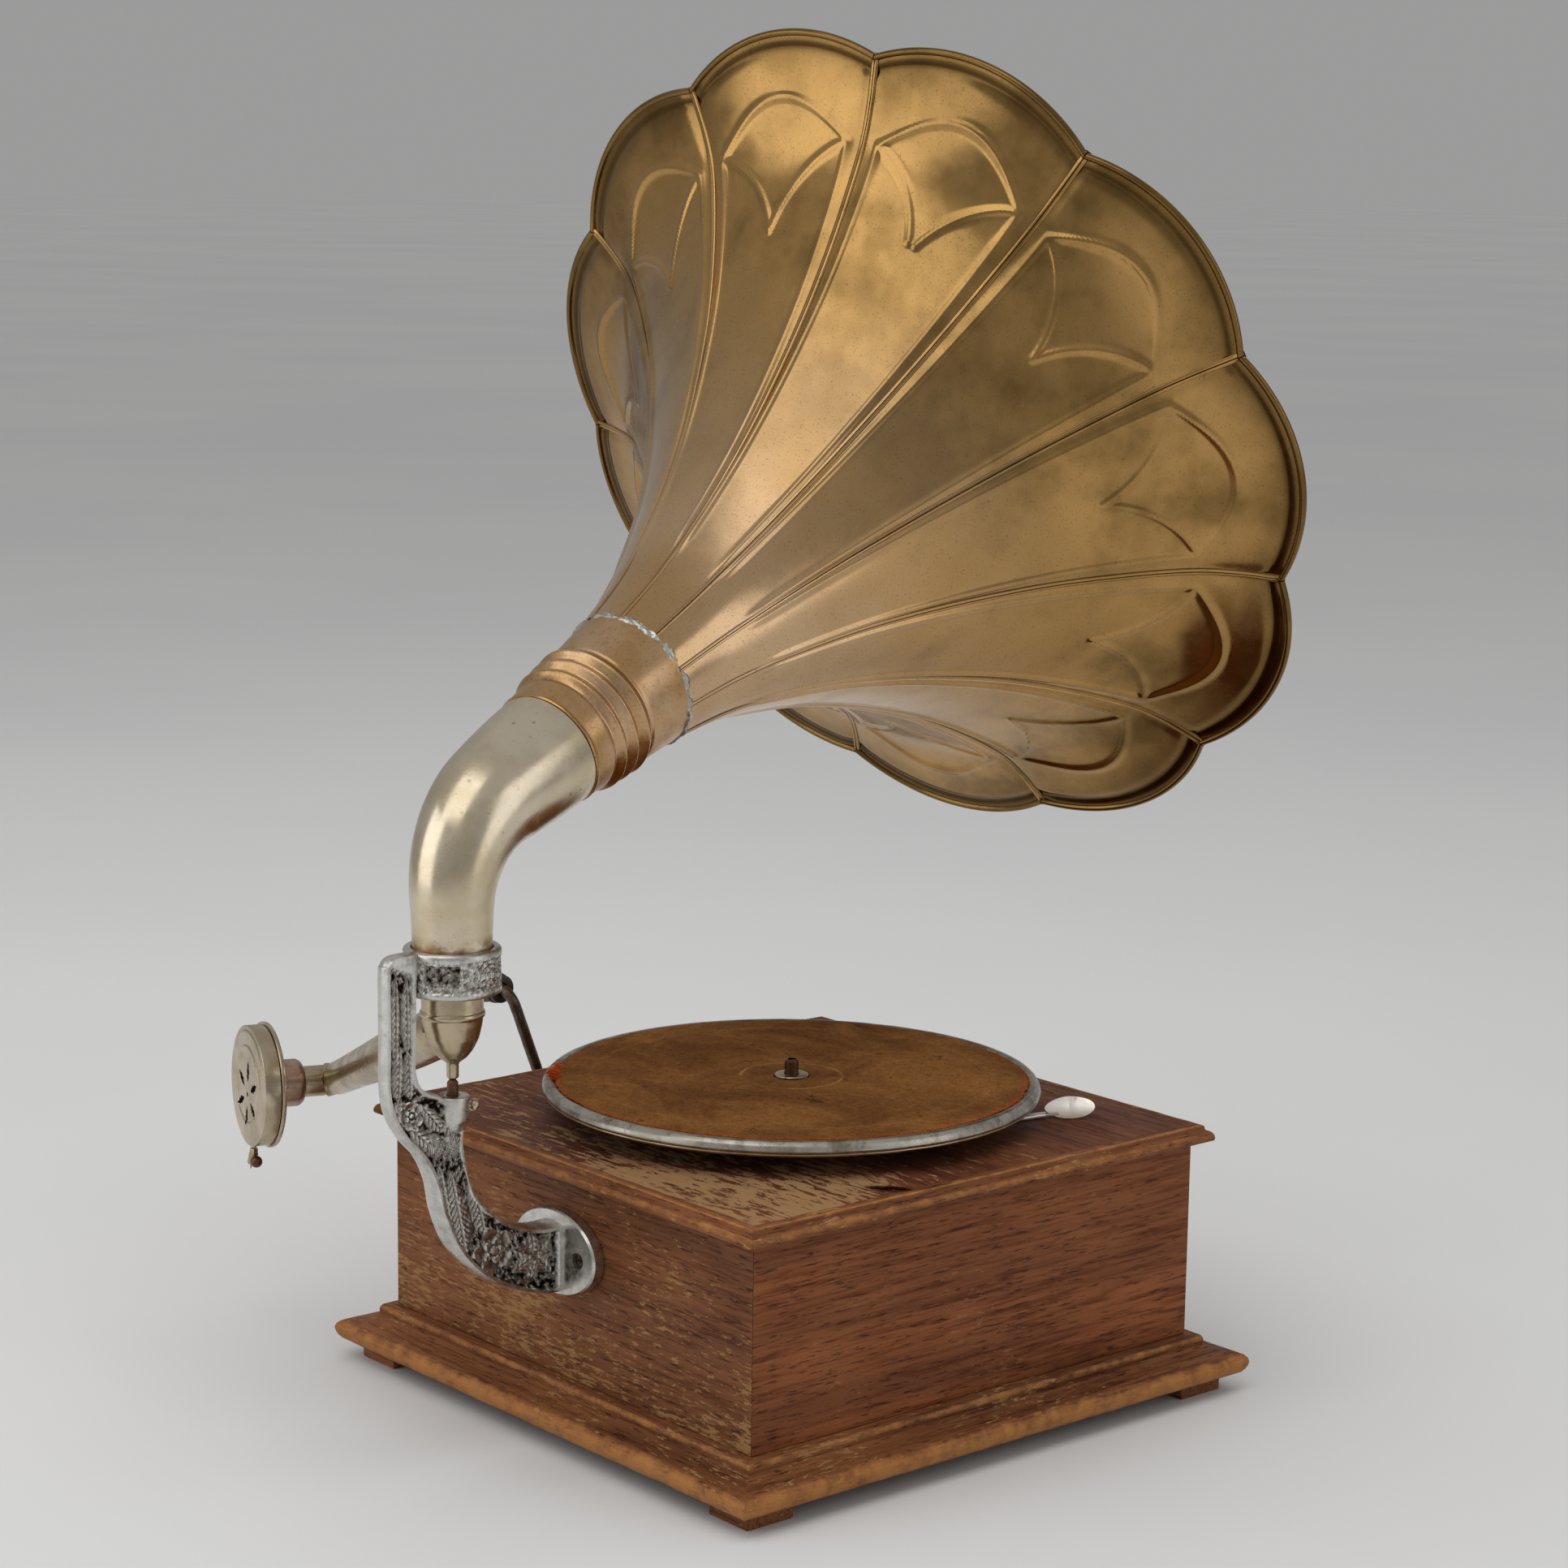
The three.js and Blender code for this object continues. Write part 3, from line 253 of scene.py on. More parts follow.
def catmull(points, t):
    """Points at t (0 to 1) on the even Catmull-Rom curve through the points."""
    points = np.asarray(points, float)
    last = len(points) - 1
    place = np.clip(np.asarray(t, float), 0, 1) * last
    i = np.minimum(place.astype(int), last - 1)
    f = (place - i)[..., None]
    p0, p1, p2, p3 = (points[np.clip(i + k, 0, last)] for k in (-1, 0, 1, 2))
    a, b = (p2 - p0) / 2, (p3 - p1) / 2
    return p1 + f * a + f**2 * (3 * (p2 - p1) - 2 * a - b) + f**3 * (2 * (p1 - p2) + a + b)


def roughened(part, height, size, seed=0.0):
    """A part whose points are moved at random, for cast, worn or woven surfaces."""
    points = part[0].copy()
    for p in points:
        p += height * np.array(noise.noise_vector(Vector(p / size + seed)))
    return points, part[1]


def piece(name, part, material, body, replaces=(), values=None, crease=35):
    """Adds a part to the scene as one piece that rides on a body."""
    mesh = bpy.data.meshes.new(name)
    mesh.from_pydata((np.asarray(part[0]) * MM + ORIGIN).tolist(), [], np.asarray(part[1], object).tolist())
    for key, value in (values or {}).items():
        data = np.ascontiguousarray(np.broadcast_to(value, len(part[0])), np.float32)
        mesh.attributes.new(key, "FLOAT", "POINT").data.foreach_set("value", data)
    bm = bmesh.new()
    bm.from_mesh(mesh)
    bmesh.ops.remove_doubles(bm, verts=bm.verts[:], dist=2e-6)
    bmesh.ops.recalc_face_normals(bm, faces=bm.faces[:])
    bm.to_mesh(mesh)
    bm.free()
    mesh.polygons.foreach_set("use_smooth", [True] * len(mesh.polygons))
    mesh.set_sharp_from_angle(angle=math.radians(crease))
    mesh.materials.append(material)
    obj = bpy.data.objects.new(name, mesh)
    bpy.context.scene.collection.objects.link(obj)
    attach(obj, body)
    if replaces:
        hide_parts(*([replaces] if isinstance(replaces, str) else replaces))
    return obj


def carve(obj, *cutters):
    """Cuts holes of the cutters' shapes into a piece."""
    for k, (points, faces) in enumerate(cutters):
        mesh = bpy.data.meshes.new("cutter")
        mesh.from_pydata((points * MM + ORIGIN).tolist(), [], np.asarray(faces, object).tolist())
        bm = bmesh.new()
        bm.from_mesh(mesh)
        bmesh.ops.remove_doubles(bm, verts=bm.verts[:], dist=2e-6)
        bmesh.ops.recalc_face_normals(bm, faces=bm.faces[:])
        bm.to_mesh(mesh)
        bm.free()
        cutter = bpy.data.objects.new("cutter", mesh)
        bpy.context.scene.collection.objects.link(cutter)
        bpy.context.view_layer.update()
        hole = obj.modifiers.new("hole", "BOOLEAN")
        hole.operation, hole.object, hole.solver = "DIFFERENCE", cutter, "EXACT"
        made = bpy.data.meshes.new_from_object(obj.evaluated_get(bpy.context.evaluated_depsgraph_get()))
        obj.modifiers.clear()
        obj.data = made
        bpy.data.objects.remove(cutter)
    obj.data.set_sharp_from_angle(angle=math.radians(35))
    return obj


# ---------------------------------------------------------------- materials


def tone(code):
    """Linear colour of an sRGB hex code."""
    parts = [int(code[i : i + 2], 16) / 255 for i in (1, 3, 5)]
    return tuple(c / 12.92 if c <= 0.04045 else ((c + 0.055) / 1.055) ** 2.4 for c in parts) + (1.0,)


class Look:
    """A node material under construction: each method adds one node and returns its output."""

    def __init__(self, name, **sockets):
        self.material = bpy.data.materials.new(name)
        self.material.use_nodes = True
        self.tree = self.material.node_tree
        self.shader = self.tree.nodes["Principled BSDF"]
        self.place = self.tree.nodes.new("ShaderNodeTexCoord").outputs["Object"]
        for key, value in sockets.items():
            self.shader.inputs[key.replace("_", " ").title().replace("Ior", "IOR")].default_value = value

    def node(self, kind, inputs, output=0, **settings):
        made = self.tree.nodes.new("ShaderNode" + kind)
        for key, value in settings.items():
            setattr(made, key, value)
        for key, value in inputs.items():
            if isinstance(value, bpy.types.NodeSocket):
                self.tree.links.new(value, made.inputs[key])
            else:
                made.inputs[key].default_value = value
        return made.outputs[output]

    def stretched(self, scale):
        return self.node("VectorMath", {0: self.place, 1: scale}, operation="MULTIPLY")

    def cloud(self, scale, detail=4, rough=0.55, place=None, twist=0.0):
        inputs = {"Vector": place or self.place, "Scale": scale, "Detail": detail, "Roughness": rough}
        return self.node("TexNoise", {**inputs, "Distortion": twist})

    def spots(self, scale, place=None):
        return self.node("TexVoronoi", {"Vector": place or self.place, "Scale": scale})

    def math(self, operation, a, b=0.0, clamp=False):
        return self.node("Math", {0: a, 1: b}, operation=operation, use_clamp=clamp)

    def between(self, value, low, high, start=0.0, end=1.0):
        inputs = {"Value": value, "From Min": low, "From Max": high, "To Min": start, "To Max": end}
        return self.node("MapRange", inputs, interpolation_type="SMOOTHSTEP")

    def mix(self, share, a, b):
        a, b = (tone(c) if isinstance(c, str) else c for c in (a, b))
        return self.node("Mix", {0: share, 6: a, 7: b}, output=2, data_type="RGBA")

    def darker(self, share, colour, to):
        """The colour multiplied towards to, by a share."""
        inputs = {0: share, 6: colour, 7: tone(to)}
        return self.node("Mix", inputs, output=2, data_type="RGBA", blend_type="MULTIPLY")

    def value(self, name):
        return self.node("Attribute", {}, output="Fac", attribute_name=name)

    def away(self, point):
        """Distance from a point in the case's millimetres, in metres."""
        at = tuple(np.asarray(point) * MM + ORIGIN)
        return self.node("VectorMath", {0: self.place, 1: at}, output="Value", operation="DISTANCE")

    def axis(self, name):
        return self.node("SeparateXYZ", {0: self.place}, output=name)

    def done(self, colour, roughness=None, height=None, bump=0.1):
        """Joins the colour, the roughness and the bump height (bump is its depth in millimetres)."""
        self.tree.links.new(colour, self.shader.inputs["Base Color"])
        if roughness is not None:
            self.tree.links.new(roughness, self.shader.inputs["Roughness"])
        if height is not None:
            normal = self.node("Bump", {"Height": height, "Distance": bump * MM, "Strength": 1.0})
            self.tree.links.new(normal, self.shader.inputs["Normal"])
        return self.material


def horn_brass():
    """Aged brass: pinkish at the throat, golden to olive outwards, finely speckled, cooler inside."""
    look = Look("horn_brass", metallic=1.0)
    reach = look.value("reach")
    patch = look.cloud(6, 3, 0.6, twist=0.6)
    gold = look.mix(look.between(patch, 0.35, 0.65), "#a88550", "#bd945a")
    brown = look.mix(look.between(look.cloud(12, 4, 0.65), 0.42, 0.68), gold, "#86693c")
    pink = look.mix(look.between(look.cloud(10, 3), 0.35, 0.7), "#cfae88", "#bd9868")
    colour = look.mix(look.between(reach, 0.1, 0.75), pink, brown)
    edge = look.between(look.math("ADD", reach, look.math("MULTIPLY", look.cloud(30, 4), 0.1)), 0.96, 1.06)
    colour = look.mix(look.math("MULTIPLY", edge, 0.7), colour, "#5a4322")
    rust = look.between(look.cloud(48, 5, 0.7), 0.64, 0.74)
    colour = look.mix(look.math("MULTIPLY", rust, 0.25), colour, "#a8683a")
    speck = look.between(look.cloud(900, 2, 0.8), 0.56, 0.72)
    colour = look.darker(look.math("MULTIPLY", speck, 0.4), colour, "#6c5636")
    groove = look.value("groove")
    colour = look.darker(look.math("MULTIPLY", groove, 0.8), colour, "#3c2a16")
    colour = look.mix(look.math("MULTIPLY", look.value("inside"), 0.55), colour, "#a89a84")
    rough = look.between(look.cloud(40, 5, 0.7), 0.3, 0.75, 0.13, 0.26)
    rough = look.math("ADD", rough, look.math("MULTIPLY", speck, 0.1))
    wave = look.math("ADD", look.cloud(12, 2), look.math("MULTIPLY", look.cloud(700, 2), 0.02))
    return look.done(colour, rough, wave, 0.45)


def plated(name, base, shade, rough_low, rough_high, stain="#5a4630", stains=0.5):
    """Worn plating: cloudy sheen, small corrosion pits and fine scratches."""
    look = Look(name, metallic=1.0)
    cloudy = look.between(look.cloud(45, 5, 0.65), 0.32, 0.7)
    colour = look.mix(cloudy, base, shade)
    pits = look.between(look.spots(420), 0.06, 0.16, 1.0, 0.0)
    sparse = look.between(look.cloud(70, 3), 0.5, 0.62)
    pits = look.math("MULTIPLY", pits, sparse)
    blotch = look.between(look.cloud(120, 4, 0.7), 0.64, 0.7)
    mark = look.math("MAXIMUM", pits, blotch)
    colour = look.mix(look.math("MULTIPLY", mark, stains), colour, stain)
    rough = look.between(look.cloud(90, 5, 0.7), 0.3, 0.7, rough_low, rough_high)
    rough = look.math("ADD", rough, look.math("MULTIPLY", mark, 0.25))
    height = look.math("SUBTRACT", look.cloud(320, 3), look.math("MULTIPLY", mark, 0.4))
    return look.done(colour, rough, height, 0.035)


def elbow_nickel():
    """The elbow's plating, with an orange stain where it stands in the ring."""
    look = Look("elbow_nickel", metallic=1.0)
    cloudy = look.between(look.cloud(30, 4, 0.6), 0.35, 0.7)
    colour = look.mix(cloudy, "#dccfb8", "#cbbb9c")
    spots = look.between(look.spots(150), 0.1, 0.2, 1.0, 0.0)
    spots = look.math("MULTIPLY", spots, look.between(look.cloud(55, 3), 0.52, 0.6))
    pits = look.between(look.spots(700), 0.1, 0.2, 1.0, 0.0)
    pits = look.math("MULTIPLY", pits, look.between(look.cloud(90, 3), 0.48, 0.6))
    mark = look.math("MAXIMUM", look.math("MULTIPLY", spots, 0.45), look.math("MULTIPLY", pits, 0.6))
    colour = look.mix(mark, colour, "#7b6440")
    foot = look.between(look.axis("Z"), 0.254, 0.262, 1.0, 0.0)
    foot = look.math("MULTIPLY", foot, look.between(look.cloud(60, 4, 0.7), 0.35, 0.6))
    colour = look.mix(look.math("MULTIPLY", foot, 0.8), colour, "#8a5520")
    rough = look.between(look.cloud(80, 5, 0.7), 0.3, 0.7, 0.17, 0.3)
    rough = look.math("ADD", rough, look.math("MULTIPLY", foot, 0.3))
    height = look.math("SUBTRACT", look.cloud(60, 3), look.math("MULTIPLY", mark, 0.5))
    return look.done(colour, rough, height, 0.05)


def cast_metal():
    """Polished casting whose hollows hold black dirt; the value depth is 1 in the deepest."""
    look = Look("cast_metal", metallic=1.0)
    worn = look.between(look.cloud(140, 5, 0.7), 0.3, 0.7)
    colour = look.mix(worn, "#d6d4ce", "#bdbbb5")
    depth = look.math("ADD", look.value("depth"), look.math("MULTIPLY", look.cloud(380, 4, 0.7), 0.5))
    colour = look.mix(look.between(depth, 0.35, 0.8), colour, "#8b867e")
    dirt = look.between(depth, 0.85, 1.2)
    colour = look.mix(dirt, colour, "#1d1813")
    film = look.between(look.cloud(70, 4, 0.7), 0.55, 0.75)
    colour = look.darker(look.math("MULTIPLY", film, 0.5), colour, "#8d8578")
    rough = look.between(look.cloud(240, 4, 0.7), 0.3, 0.7, 0.2, 0.4)
    rough = look.math("ADD", rough, look.math("MULTIPLY", dirt, 0.35))
    return look.done(colour, rough, look.cloud(520, 4, 0.7), 0.045)


def coppery():
    """Brass gone pink and brown, as on the horn's collar."""
    look = Look("coppery_brass", metallic=1.0)
    patch = look.between(look.cloud(28, 4, 0.6, twist=0.8), 0.35, 0.65)
    colour = look.mix(patch, "#cba883", "#bc935f")
    brown = look.between(look.cloud(60, 5, 0.7), 0.56, 0.7)
    colour = look.mix(look.math("MULTIPLY", brown, 0.5), colour, "#7a5334")
    speck = look.between(look.cloud(800, 2, 0.8), 0.55, 0.7)
    colour = look.darker(look.math("MULTIPLY", speck, 0.35), colour, "#5f4228")
    rough = look.between(look.cloud(70, 5, 0.7), 0.3, 0.7, 0.2, 0.4)
    return look.done(colour, rough, look.cloud(90, 4), 0.12)


def steel(name, base, rust, low=0.28, high=0.55, share=0.6):
    look = Look(name, metallic=1.0)
    patch = look.between(look.cloud(160, 5, 0.7), 0.42, 0.66)
    colour = look.mix(look.math("MULTIPLY", patch, share), base, rust)
    rough = look.between(look.cloud(220, 5, 0.7), 0.3, 0.7, low, high)
    return look.done(colour, rough, look.cloud(600, 4, 0.7), 0.06)


def wood(name, run, base=("#643419", "#98592f"), flecks=0.5, pale="#b48a5f", edge=None, orange="#b57a3f",
         worn=None, lacquer=0.0, marks=0.5, fleck_size=(110, 520)):
    """Old mahogany. run is the axis of the grain; edge gives the value that is 1 on worn edges."""
    look = Look(name, specular_ior_level=0.22 + 0.4 * lacquer)
    long, cross = 22.0, 420.0
    grain_at = look.stretched(tuple(long if axis == run else cross for axis in "XYZ"))
    broad_at = look.stretched(tuple(2.5 if axis == run else 28.0 for axis in "XYZ"))
    pore_at = look.stretched(tuple(90.0 if axis == run else 1100.0 for axis in "XYZ"))
    fleck_at = look.stretched(tuple(fleck_size[0] if axis == run else fleck_size[1] for axis in "XYZ"))
    grain = look.cloud(1.0, 5, 0.6, grain_at, 0.5)
    broad = look.cloud(1.0, 4, 0.6, broad_at, 0.8)
    colour = look.mix(look.between(broad, 0.2, 0.8), *base)
    colour = look.darker(look.between(grain, 0.4, 0.72), colour, "#a9886f")
    tint = look.between(look.cloud(7, 3), 0.35, 0.7)
    colour = look.mix(look.math("MULTIPLY", tint, 0.3), colour, "#a5663a")
    pores = look.between(look.cloud(1.0, 2, 0.6, pore_at), 0.58, 0.68)
    colour = look.darker(look.math("MULTIPLY", pores, 0.75), colour, "#4a2a1a")
    fleck = look.cloud(1.0, 4, 0.75, fleck_at, 0.3)
    patchy = look.between(look.cloud(13, 4, 0.65), 0.3, 0.7, -0.07, 0.09)
    amount = look.math("ADD", fleck, patchy)
    if worn is not None:
        amount = look.math("ADD", amount, worn(look))
    shown = look.between(amount, 0.66 - 0.07 * flecks, 0.70 - 0.07 * flecks)
    colour = look.mix(look.math("MULTIPLY", shown, 0.8 * min(1.0, flecks + 0.3)), colour, pale)
    dark = look.between(look.cloud(34, 5, 0.75, twist=0.5), 0.66, 0.74)
    colour = look.darker(look.math("MULTIPLY", dark, marks), colour, "#2b1a12")
    if edge is not None:
        rim = look.math("ADD", look.value(edge), look.math("MULTIPLY", look.cloud(85, 5, 0.7, look.place), 0.7))
        rim = look.between(rim, 0.85, 1.2)
        colour = look.mix(look.math("MULTIPLY", rim, 0.85), colour, orange)
    rough = look.between(grain, 0.3, 0.7, 0.5, 0.66)
    rough = look.math("ADD", rough, look.math("MULTIPLY", shown, 0.18))
    height = look.math("SUBTRACT", look.math("MULTIPLY", grain, 0.5), pores)
    height = look.math("SUBTRACT", height, look.math("MULTIPLY", shown, 0.6))
    return look.done(colour, rough, height, 0.12)


def felt_cloth():
    """Worn felt: brown nap with rings of wear about the spindle and a rusty red edge."""
    look = Look("felt_cloth", specular_ior_level=0.08)
    radius = look.away((0, 0, FELT_TOP))
    across = look.node("CombineXYZ", {0: look.math("MULTIPLY", radius, 55.0), 1: 0.0, 2: 0.0})
    rings = look.cloud(1.0, 5, 0.7, across)
    patch = look.cloud(16, 5, 0.65, twist=0.7)
    colour = look.mix(look.between(patch, 0.35, 0.68), "#704824", "#996a38")
    colour = look.mix(look.math("MULTIPLY", look.between(rings, 0.5, 0.7), 0.25), colour, "#ac8049")
    fibre = look.between(look.cloud(420, 4, 0.8, twist=1.0), 0.35, 0.7)
    colour = look.darker(look.math("MULTIPLY", fibre, 0.6), colour, "#8c5a34")
    stain = look.between(look.cloud(60, 4, 0.7), 0.64, 0.72)
    colour = look.darker(look.math("MULTIPLY", stain, 0.6), colour, "#4d2c18")
    ring = look.math("ABSOLUTE", look.math("SUBTRACT", radius, 0.026))
    ring = look.between(ring, 0.0, 0.0012, 0.5, 0.0)
    colour = look.mix(look.math("MULTIPLY", ring, look.between(look.cloud(50), 0.4, 0.6)), colour, "#c29a62")
    rim = look.math("ADD", radius, look.math("MULTIPLY", look.cloud(40, 5, 0.7), 0.012))
    rim = look.between(rim, (FELT_R + 0.5) * MM, (FELT_R + 8) * MM)
    colour = look.mix(look.math("MULTIPLY", rim, 0.45), colour, "#94481f")
    nap = look.math("ADD", look.cloud(900, 3, 0.8), look.math("MULTIPLY", look.cloud(90, 4), 2.0))
    rough = look.between(look.cloud(200, 3), 0.3, 0.7, 0.85, 1.0)
    return look.done(colour, rough, nap, 0.25)


def rim_metal():
    """The turntable's rim: grey stained nickel, brassy along its lower edge."""
    look = Look("rim_metal", metallic=1.0)
    stain = look.between(look.cloud(60, 5, 0.75), 0.4, 0.66)
    colour = look.mix(stain, "#b9b3a8", "#857c70")
    dark = look.between(look.cloud(110, 5, 0.75), 0.58, 0.7)
    colour = look.mix(look.math("MULTIPLY", dark, 0.7), colour, "#4f453a")
    low = look.between(look.axis("Z"), (PLATTER_LOW + 1.2) * MM, (PLATTER_LOW + 2.2) * MM, 1.0, 0.0)
    colour = look.mix(look.math("MULTIPLY", low, 0.75), colour, "#a8834c")
    rough = look.between(look.cloud(90, 5, 0.7), 0.3, 0.7, 0.24, 0.45)
    return look.done(colour, rough, look.cloud(240, 5, 0.7), 0.08)


def thread_cotton():
    look = Look("thread_cotton", specular_ior_level=0.1)
    colour = look.mix(look.between(look.cloud(60, 3), 0.35, 0.65), "#a8421a", "#cc6a30")
    rough = look.between(look.cloud(400), 0.3, 0.7, 0.8, 0.95)
    return look.done(colour, rough)


def mica_sheet():
    look = Look("mica_sheet")
    colour = look.mix(look.between(look.cloud(60, 4), 0.3, 0.7), "#b5a789", "#8f8062")
    rough = look.between(look.cloud(120, 4), 0.3, 0.7, 0.3, 0.5)
    return look.done(colour, rough, look.cloud(80, 3), 0.05)


def floor_paper():
    look = Look("floor_paper")
    colour = look.mix(look.between(look.cloud(0.8, 3), 0.3, 0.7), "#dedede", "#e3e3e2")
    rough = look.between(look.cloud(30, 3), 0.3, 0.7, 0.7, 0.8)
    return look.done(colour, rough, look.cloud(200, 3), 0.05)


def lid_wear(look):
    """More bare wood towards the lid's back left corner and along its back edge."""
    corner = look.between(look.away((-CASE_X + 30, CASE_Y - 20, LID_TOP)), 0.03, 0.2, 0.14, 0.0)
    edge = look.between(look.axis("Y"), 0.05, 0.15, -0.03, 0.07)
    return look.math("ADD", corner, edge)


def back_wear(look):
    """More pale flecks low on the back board."""
    return look.between(look.axis("Z"), 0.03, 0.13, 0.07, -0.02)


HORN_BRASS = horn_brass()
NICKEL = plated("satin_nickel", "#c2b296", "#a39377", 0.2, 0.34)
PALE_NICKEL = plated("pale_nickel", "#cdbfa8", "#b1a286", 0.2, 0.34, stains=0.35)
LEVER_NICKEL = plated("lever_nickel", "#f6f1ea", "#e9e2d6", 0.3, 0.42, stains=0.15)
ELBOW = elbow_nickel()
CAST = cast_metal()
COPPERY = coppery()
BOX_COLLAR = plated("corroded_nickel", "#b9a08c", "#94705c", 0.25, 0.45, "#6d3a2a", 0.8)
SOLDER = plated("solder", "#d2cfc6", "#a9a49a", 0.3, 0.5, "#6f675a", 0.5)
RUSTY = steel("rusty_steel", "#6a5f56", "#3f2b20")
BROWN_STEEL = steel("brown_steel", "#6f5140", "#3b241a")
MOTOR_STEEL = steel("motor_steel", "#8f8b85", "#5c5148", 0.3, 0.5, 0.4)
BRASS = steel("motor_brass", "#c2a25c", "#8c6c38", 0.25, 0.45, 0.5)
RIM = rim_metal()
FELT = felt_cloth()
THREAD = thread_cotton()
MICA = mica_sheet()
SIDE_WOOD = wood("side_wood", "Y", flecks=0.1, edge="edge", marks=0.7)
BACK_WOOD = wood("back_wood", "X", ("#4f2c18", "#82502c"), 0.85, "#a37c4e", "edge", worn=back_wear, marks=0.4)
FRONT_WOOD = wood("front_wood", "X", flecks=0.3, edge="edge")
LID_WOOD = wood("lid_wood", "X", ("#4a2618", "#713f28"), 0.6, "#a8845a", "edge", worn=lid_wear, marks=0.5,
                fleck_size=(70, 300))
MOULD_X = wood("moulding_wood_x", "X", ("#54301b", "#855432"), 0.7, "#a98355", "edge", marks=0.9)
MOULD_Y = wood("moulding_wood_y", "Y", ("#54301b", "#855432"), 0.7, "#a98355", "edge", marks=0.9)
PLAIN_WOOD = wood("plain_wood", "X", ("#6a3f22", "#8e5a33"), 0.4, marks=0.6)
HANDLE_WOOD = wood("handle_wood", "X", ("#26150d", "#472a19"), 0.1, "#7a5232", marks=0.5, lacquer=0.7)

# ---------------------------------------------------------------- horn


def horn_point(at, radius, angle):
    """Points at distances along the horn's axis, radii from it and angles round it."""
    at, radius, angle = np.broadcast_arrays(at, radius, angle)
    spoke = np.cos(angle)[..., None] * HORN_SIDE + np.sin(angle)[..., None] * HORN_UP
    return HORN_MEET + at[..., None] * HORN_AXIS + radius[..., None] * spoke


FLARE = [(0, 35.8), (31.3, 42.3), (65.2, 53.6), (104.3, 71.1), (143.4, 94.2), (182.6, 122.5), (213.9, 150.9),
         (239.9, 179.2), (251.7, 198.6), (260.2, 219.5)]
flare_t = np.linspace(0, 1, 2001)
flare_curve = catmull(FLARE, flare_t)
flare_way = np.gradient(flare_curve, axis=0)
flare_way /= np.linalg.norm(flare_way, axis=1)[:, None]
flare_run = np.concatenate([[0], np.cumsum(np.linalg.norm(np.diff(flare_curve, axis=0), axis=1))])
FLARE_LENGTH = flare_run[-1]


def sheet_point(middle, across, share, lift, run=0.0):
    """A petal's points: across is -1 to 1 between its seams, share 0 to 1 from throat to rim;
    lift is off the sheet and run beyond the rim, in millimetres."""
    across, share, lift, run = np.broadcast_arrays(across, share, lift, run)
    t = np.interp(share * FLARE_LENGTH, flare_run, flare_t)
    at, radius, way_at, way_r = (np.interp(t, flare_t, column) for column in (*flare_curve.T, *flare_way.T))
    flat = 0.3 * t
    bow = 1 - flat + flat * math.cos(HALF_GORE) / np.cos(across * HALF_GORE)
    reach = SCALLOP * (1 - across**2) * smooth(t, 0.72, 1)
    radius = radius * bow + reach * 0.97 + way_at * lift + way_r * run
    at = THROAT + at + reach * 0.22 - way_r * lift + way_at * run
    return horn_point(at, radius, middle + across * HALF_GORE)


def half_width(share):
    return HALF_GORE * np.interp(share * FLARE_LENGTH, flare_run, flare_curve[:, 1])


ARCH_END, ARCH_TOP, ARCH_TIP = 0.875, 0.925, 0.735  # shares of the petal's length
RIDGE_ACROSS = 0.82
RIDGE_HEIGHT, RIDGE_WIDTH = 1.25, 1.75


def embossing(across, share, open_tip=False):
    """Height pressed out of a petal: two long ridges, an arch near the rim and two curves to a tip."""
    x, y = across * half_width(share), share * FLARE_LENGTH
    end_x, end_y = RIDGE_ACROSS * half_width(ARCH_END), ARCH_END * FLARE_LENGTH
    long = ridge(np.abs(x) - RIDGE_ACROSS * half_width(share), RIDGE_WIDTH)
    long = long * smooth(share, 0.12, 0.2) * smooth(share, ARCH_END + 0.012, ARCH_END - 0.004)
    arch_y = end_y + (ARCH_TOP - ARCH_END) * FLARE_LENGTH * (1 - (x / end_x) ** 2)
    slope = 2 * (ARCH_TOP - ARCH_END) * FLARE_LENGTH * np.abs(x) / end_x**2
    arch = ridge((y - arch_y) / np.sqrt(1 + slope**2), RIDGE_WIDTH) * smooth(np.abs(x), end_x + 1.5, end_x - 1)
    tip_y = ARCH_TIP * FLARE_LENGTH
    t = np.linspace(0, 0.9 if open_tip else 1, 40)
    bend_x, bend_y = 0.24 * end_x, tip_y + 0.72 * (end_y - tip_y)
    curve_x = (1 - t) ** 2 * end_x + 2 * t * (1 - t) * bend_x
    curve_y = (1 - t) ** 2 * end_y + 2 * t * (1 - t) * bend_y + t**2 * tip_y
    near = np.full(x.shape, 1e9)
    for cx, cy in zip(curve_x, curve_y):
        near = np.minimum(near, np.hypot(np.abs(x) - cx, y - cy))
    curves = ridge(near, RIDGE_WIDTH)
    return RIDGE_HEIGHT * np.maximum(np.maximum(long, arch), curves)


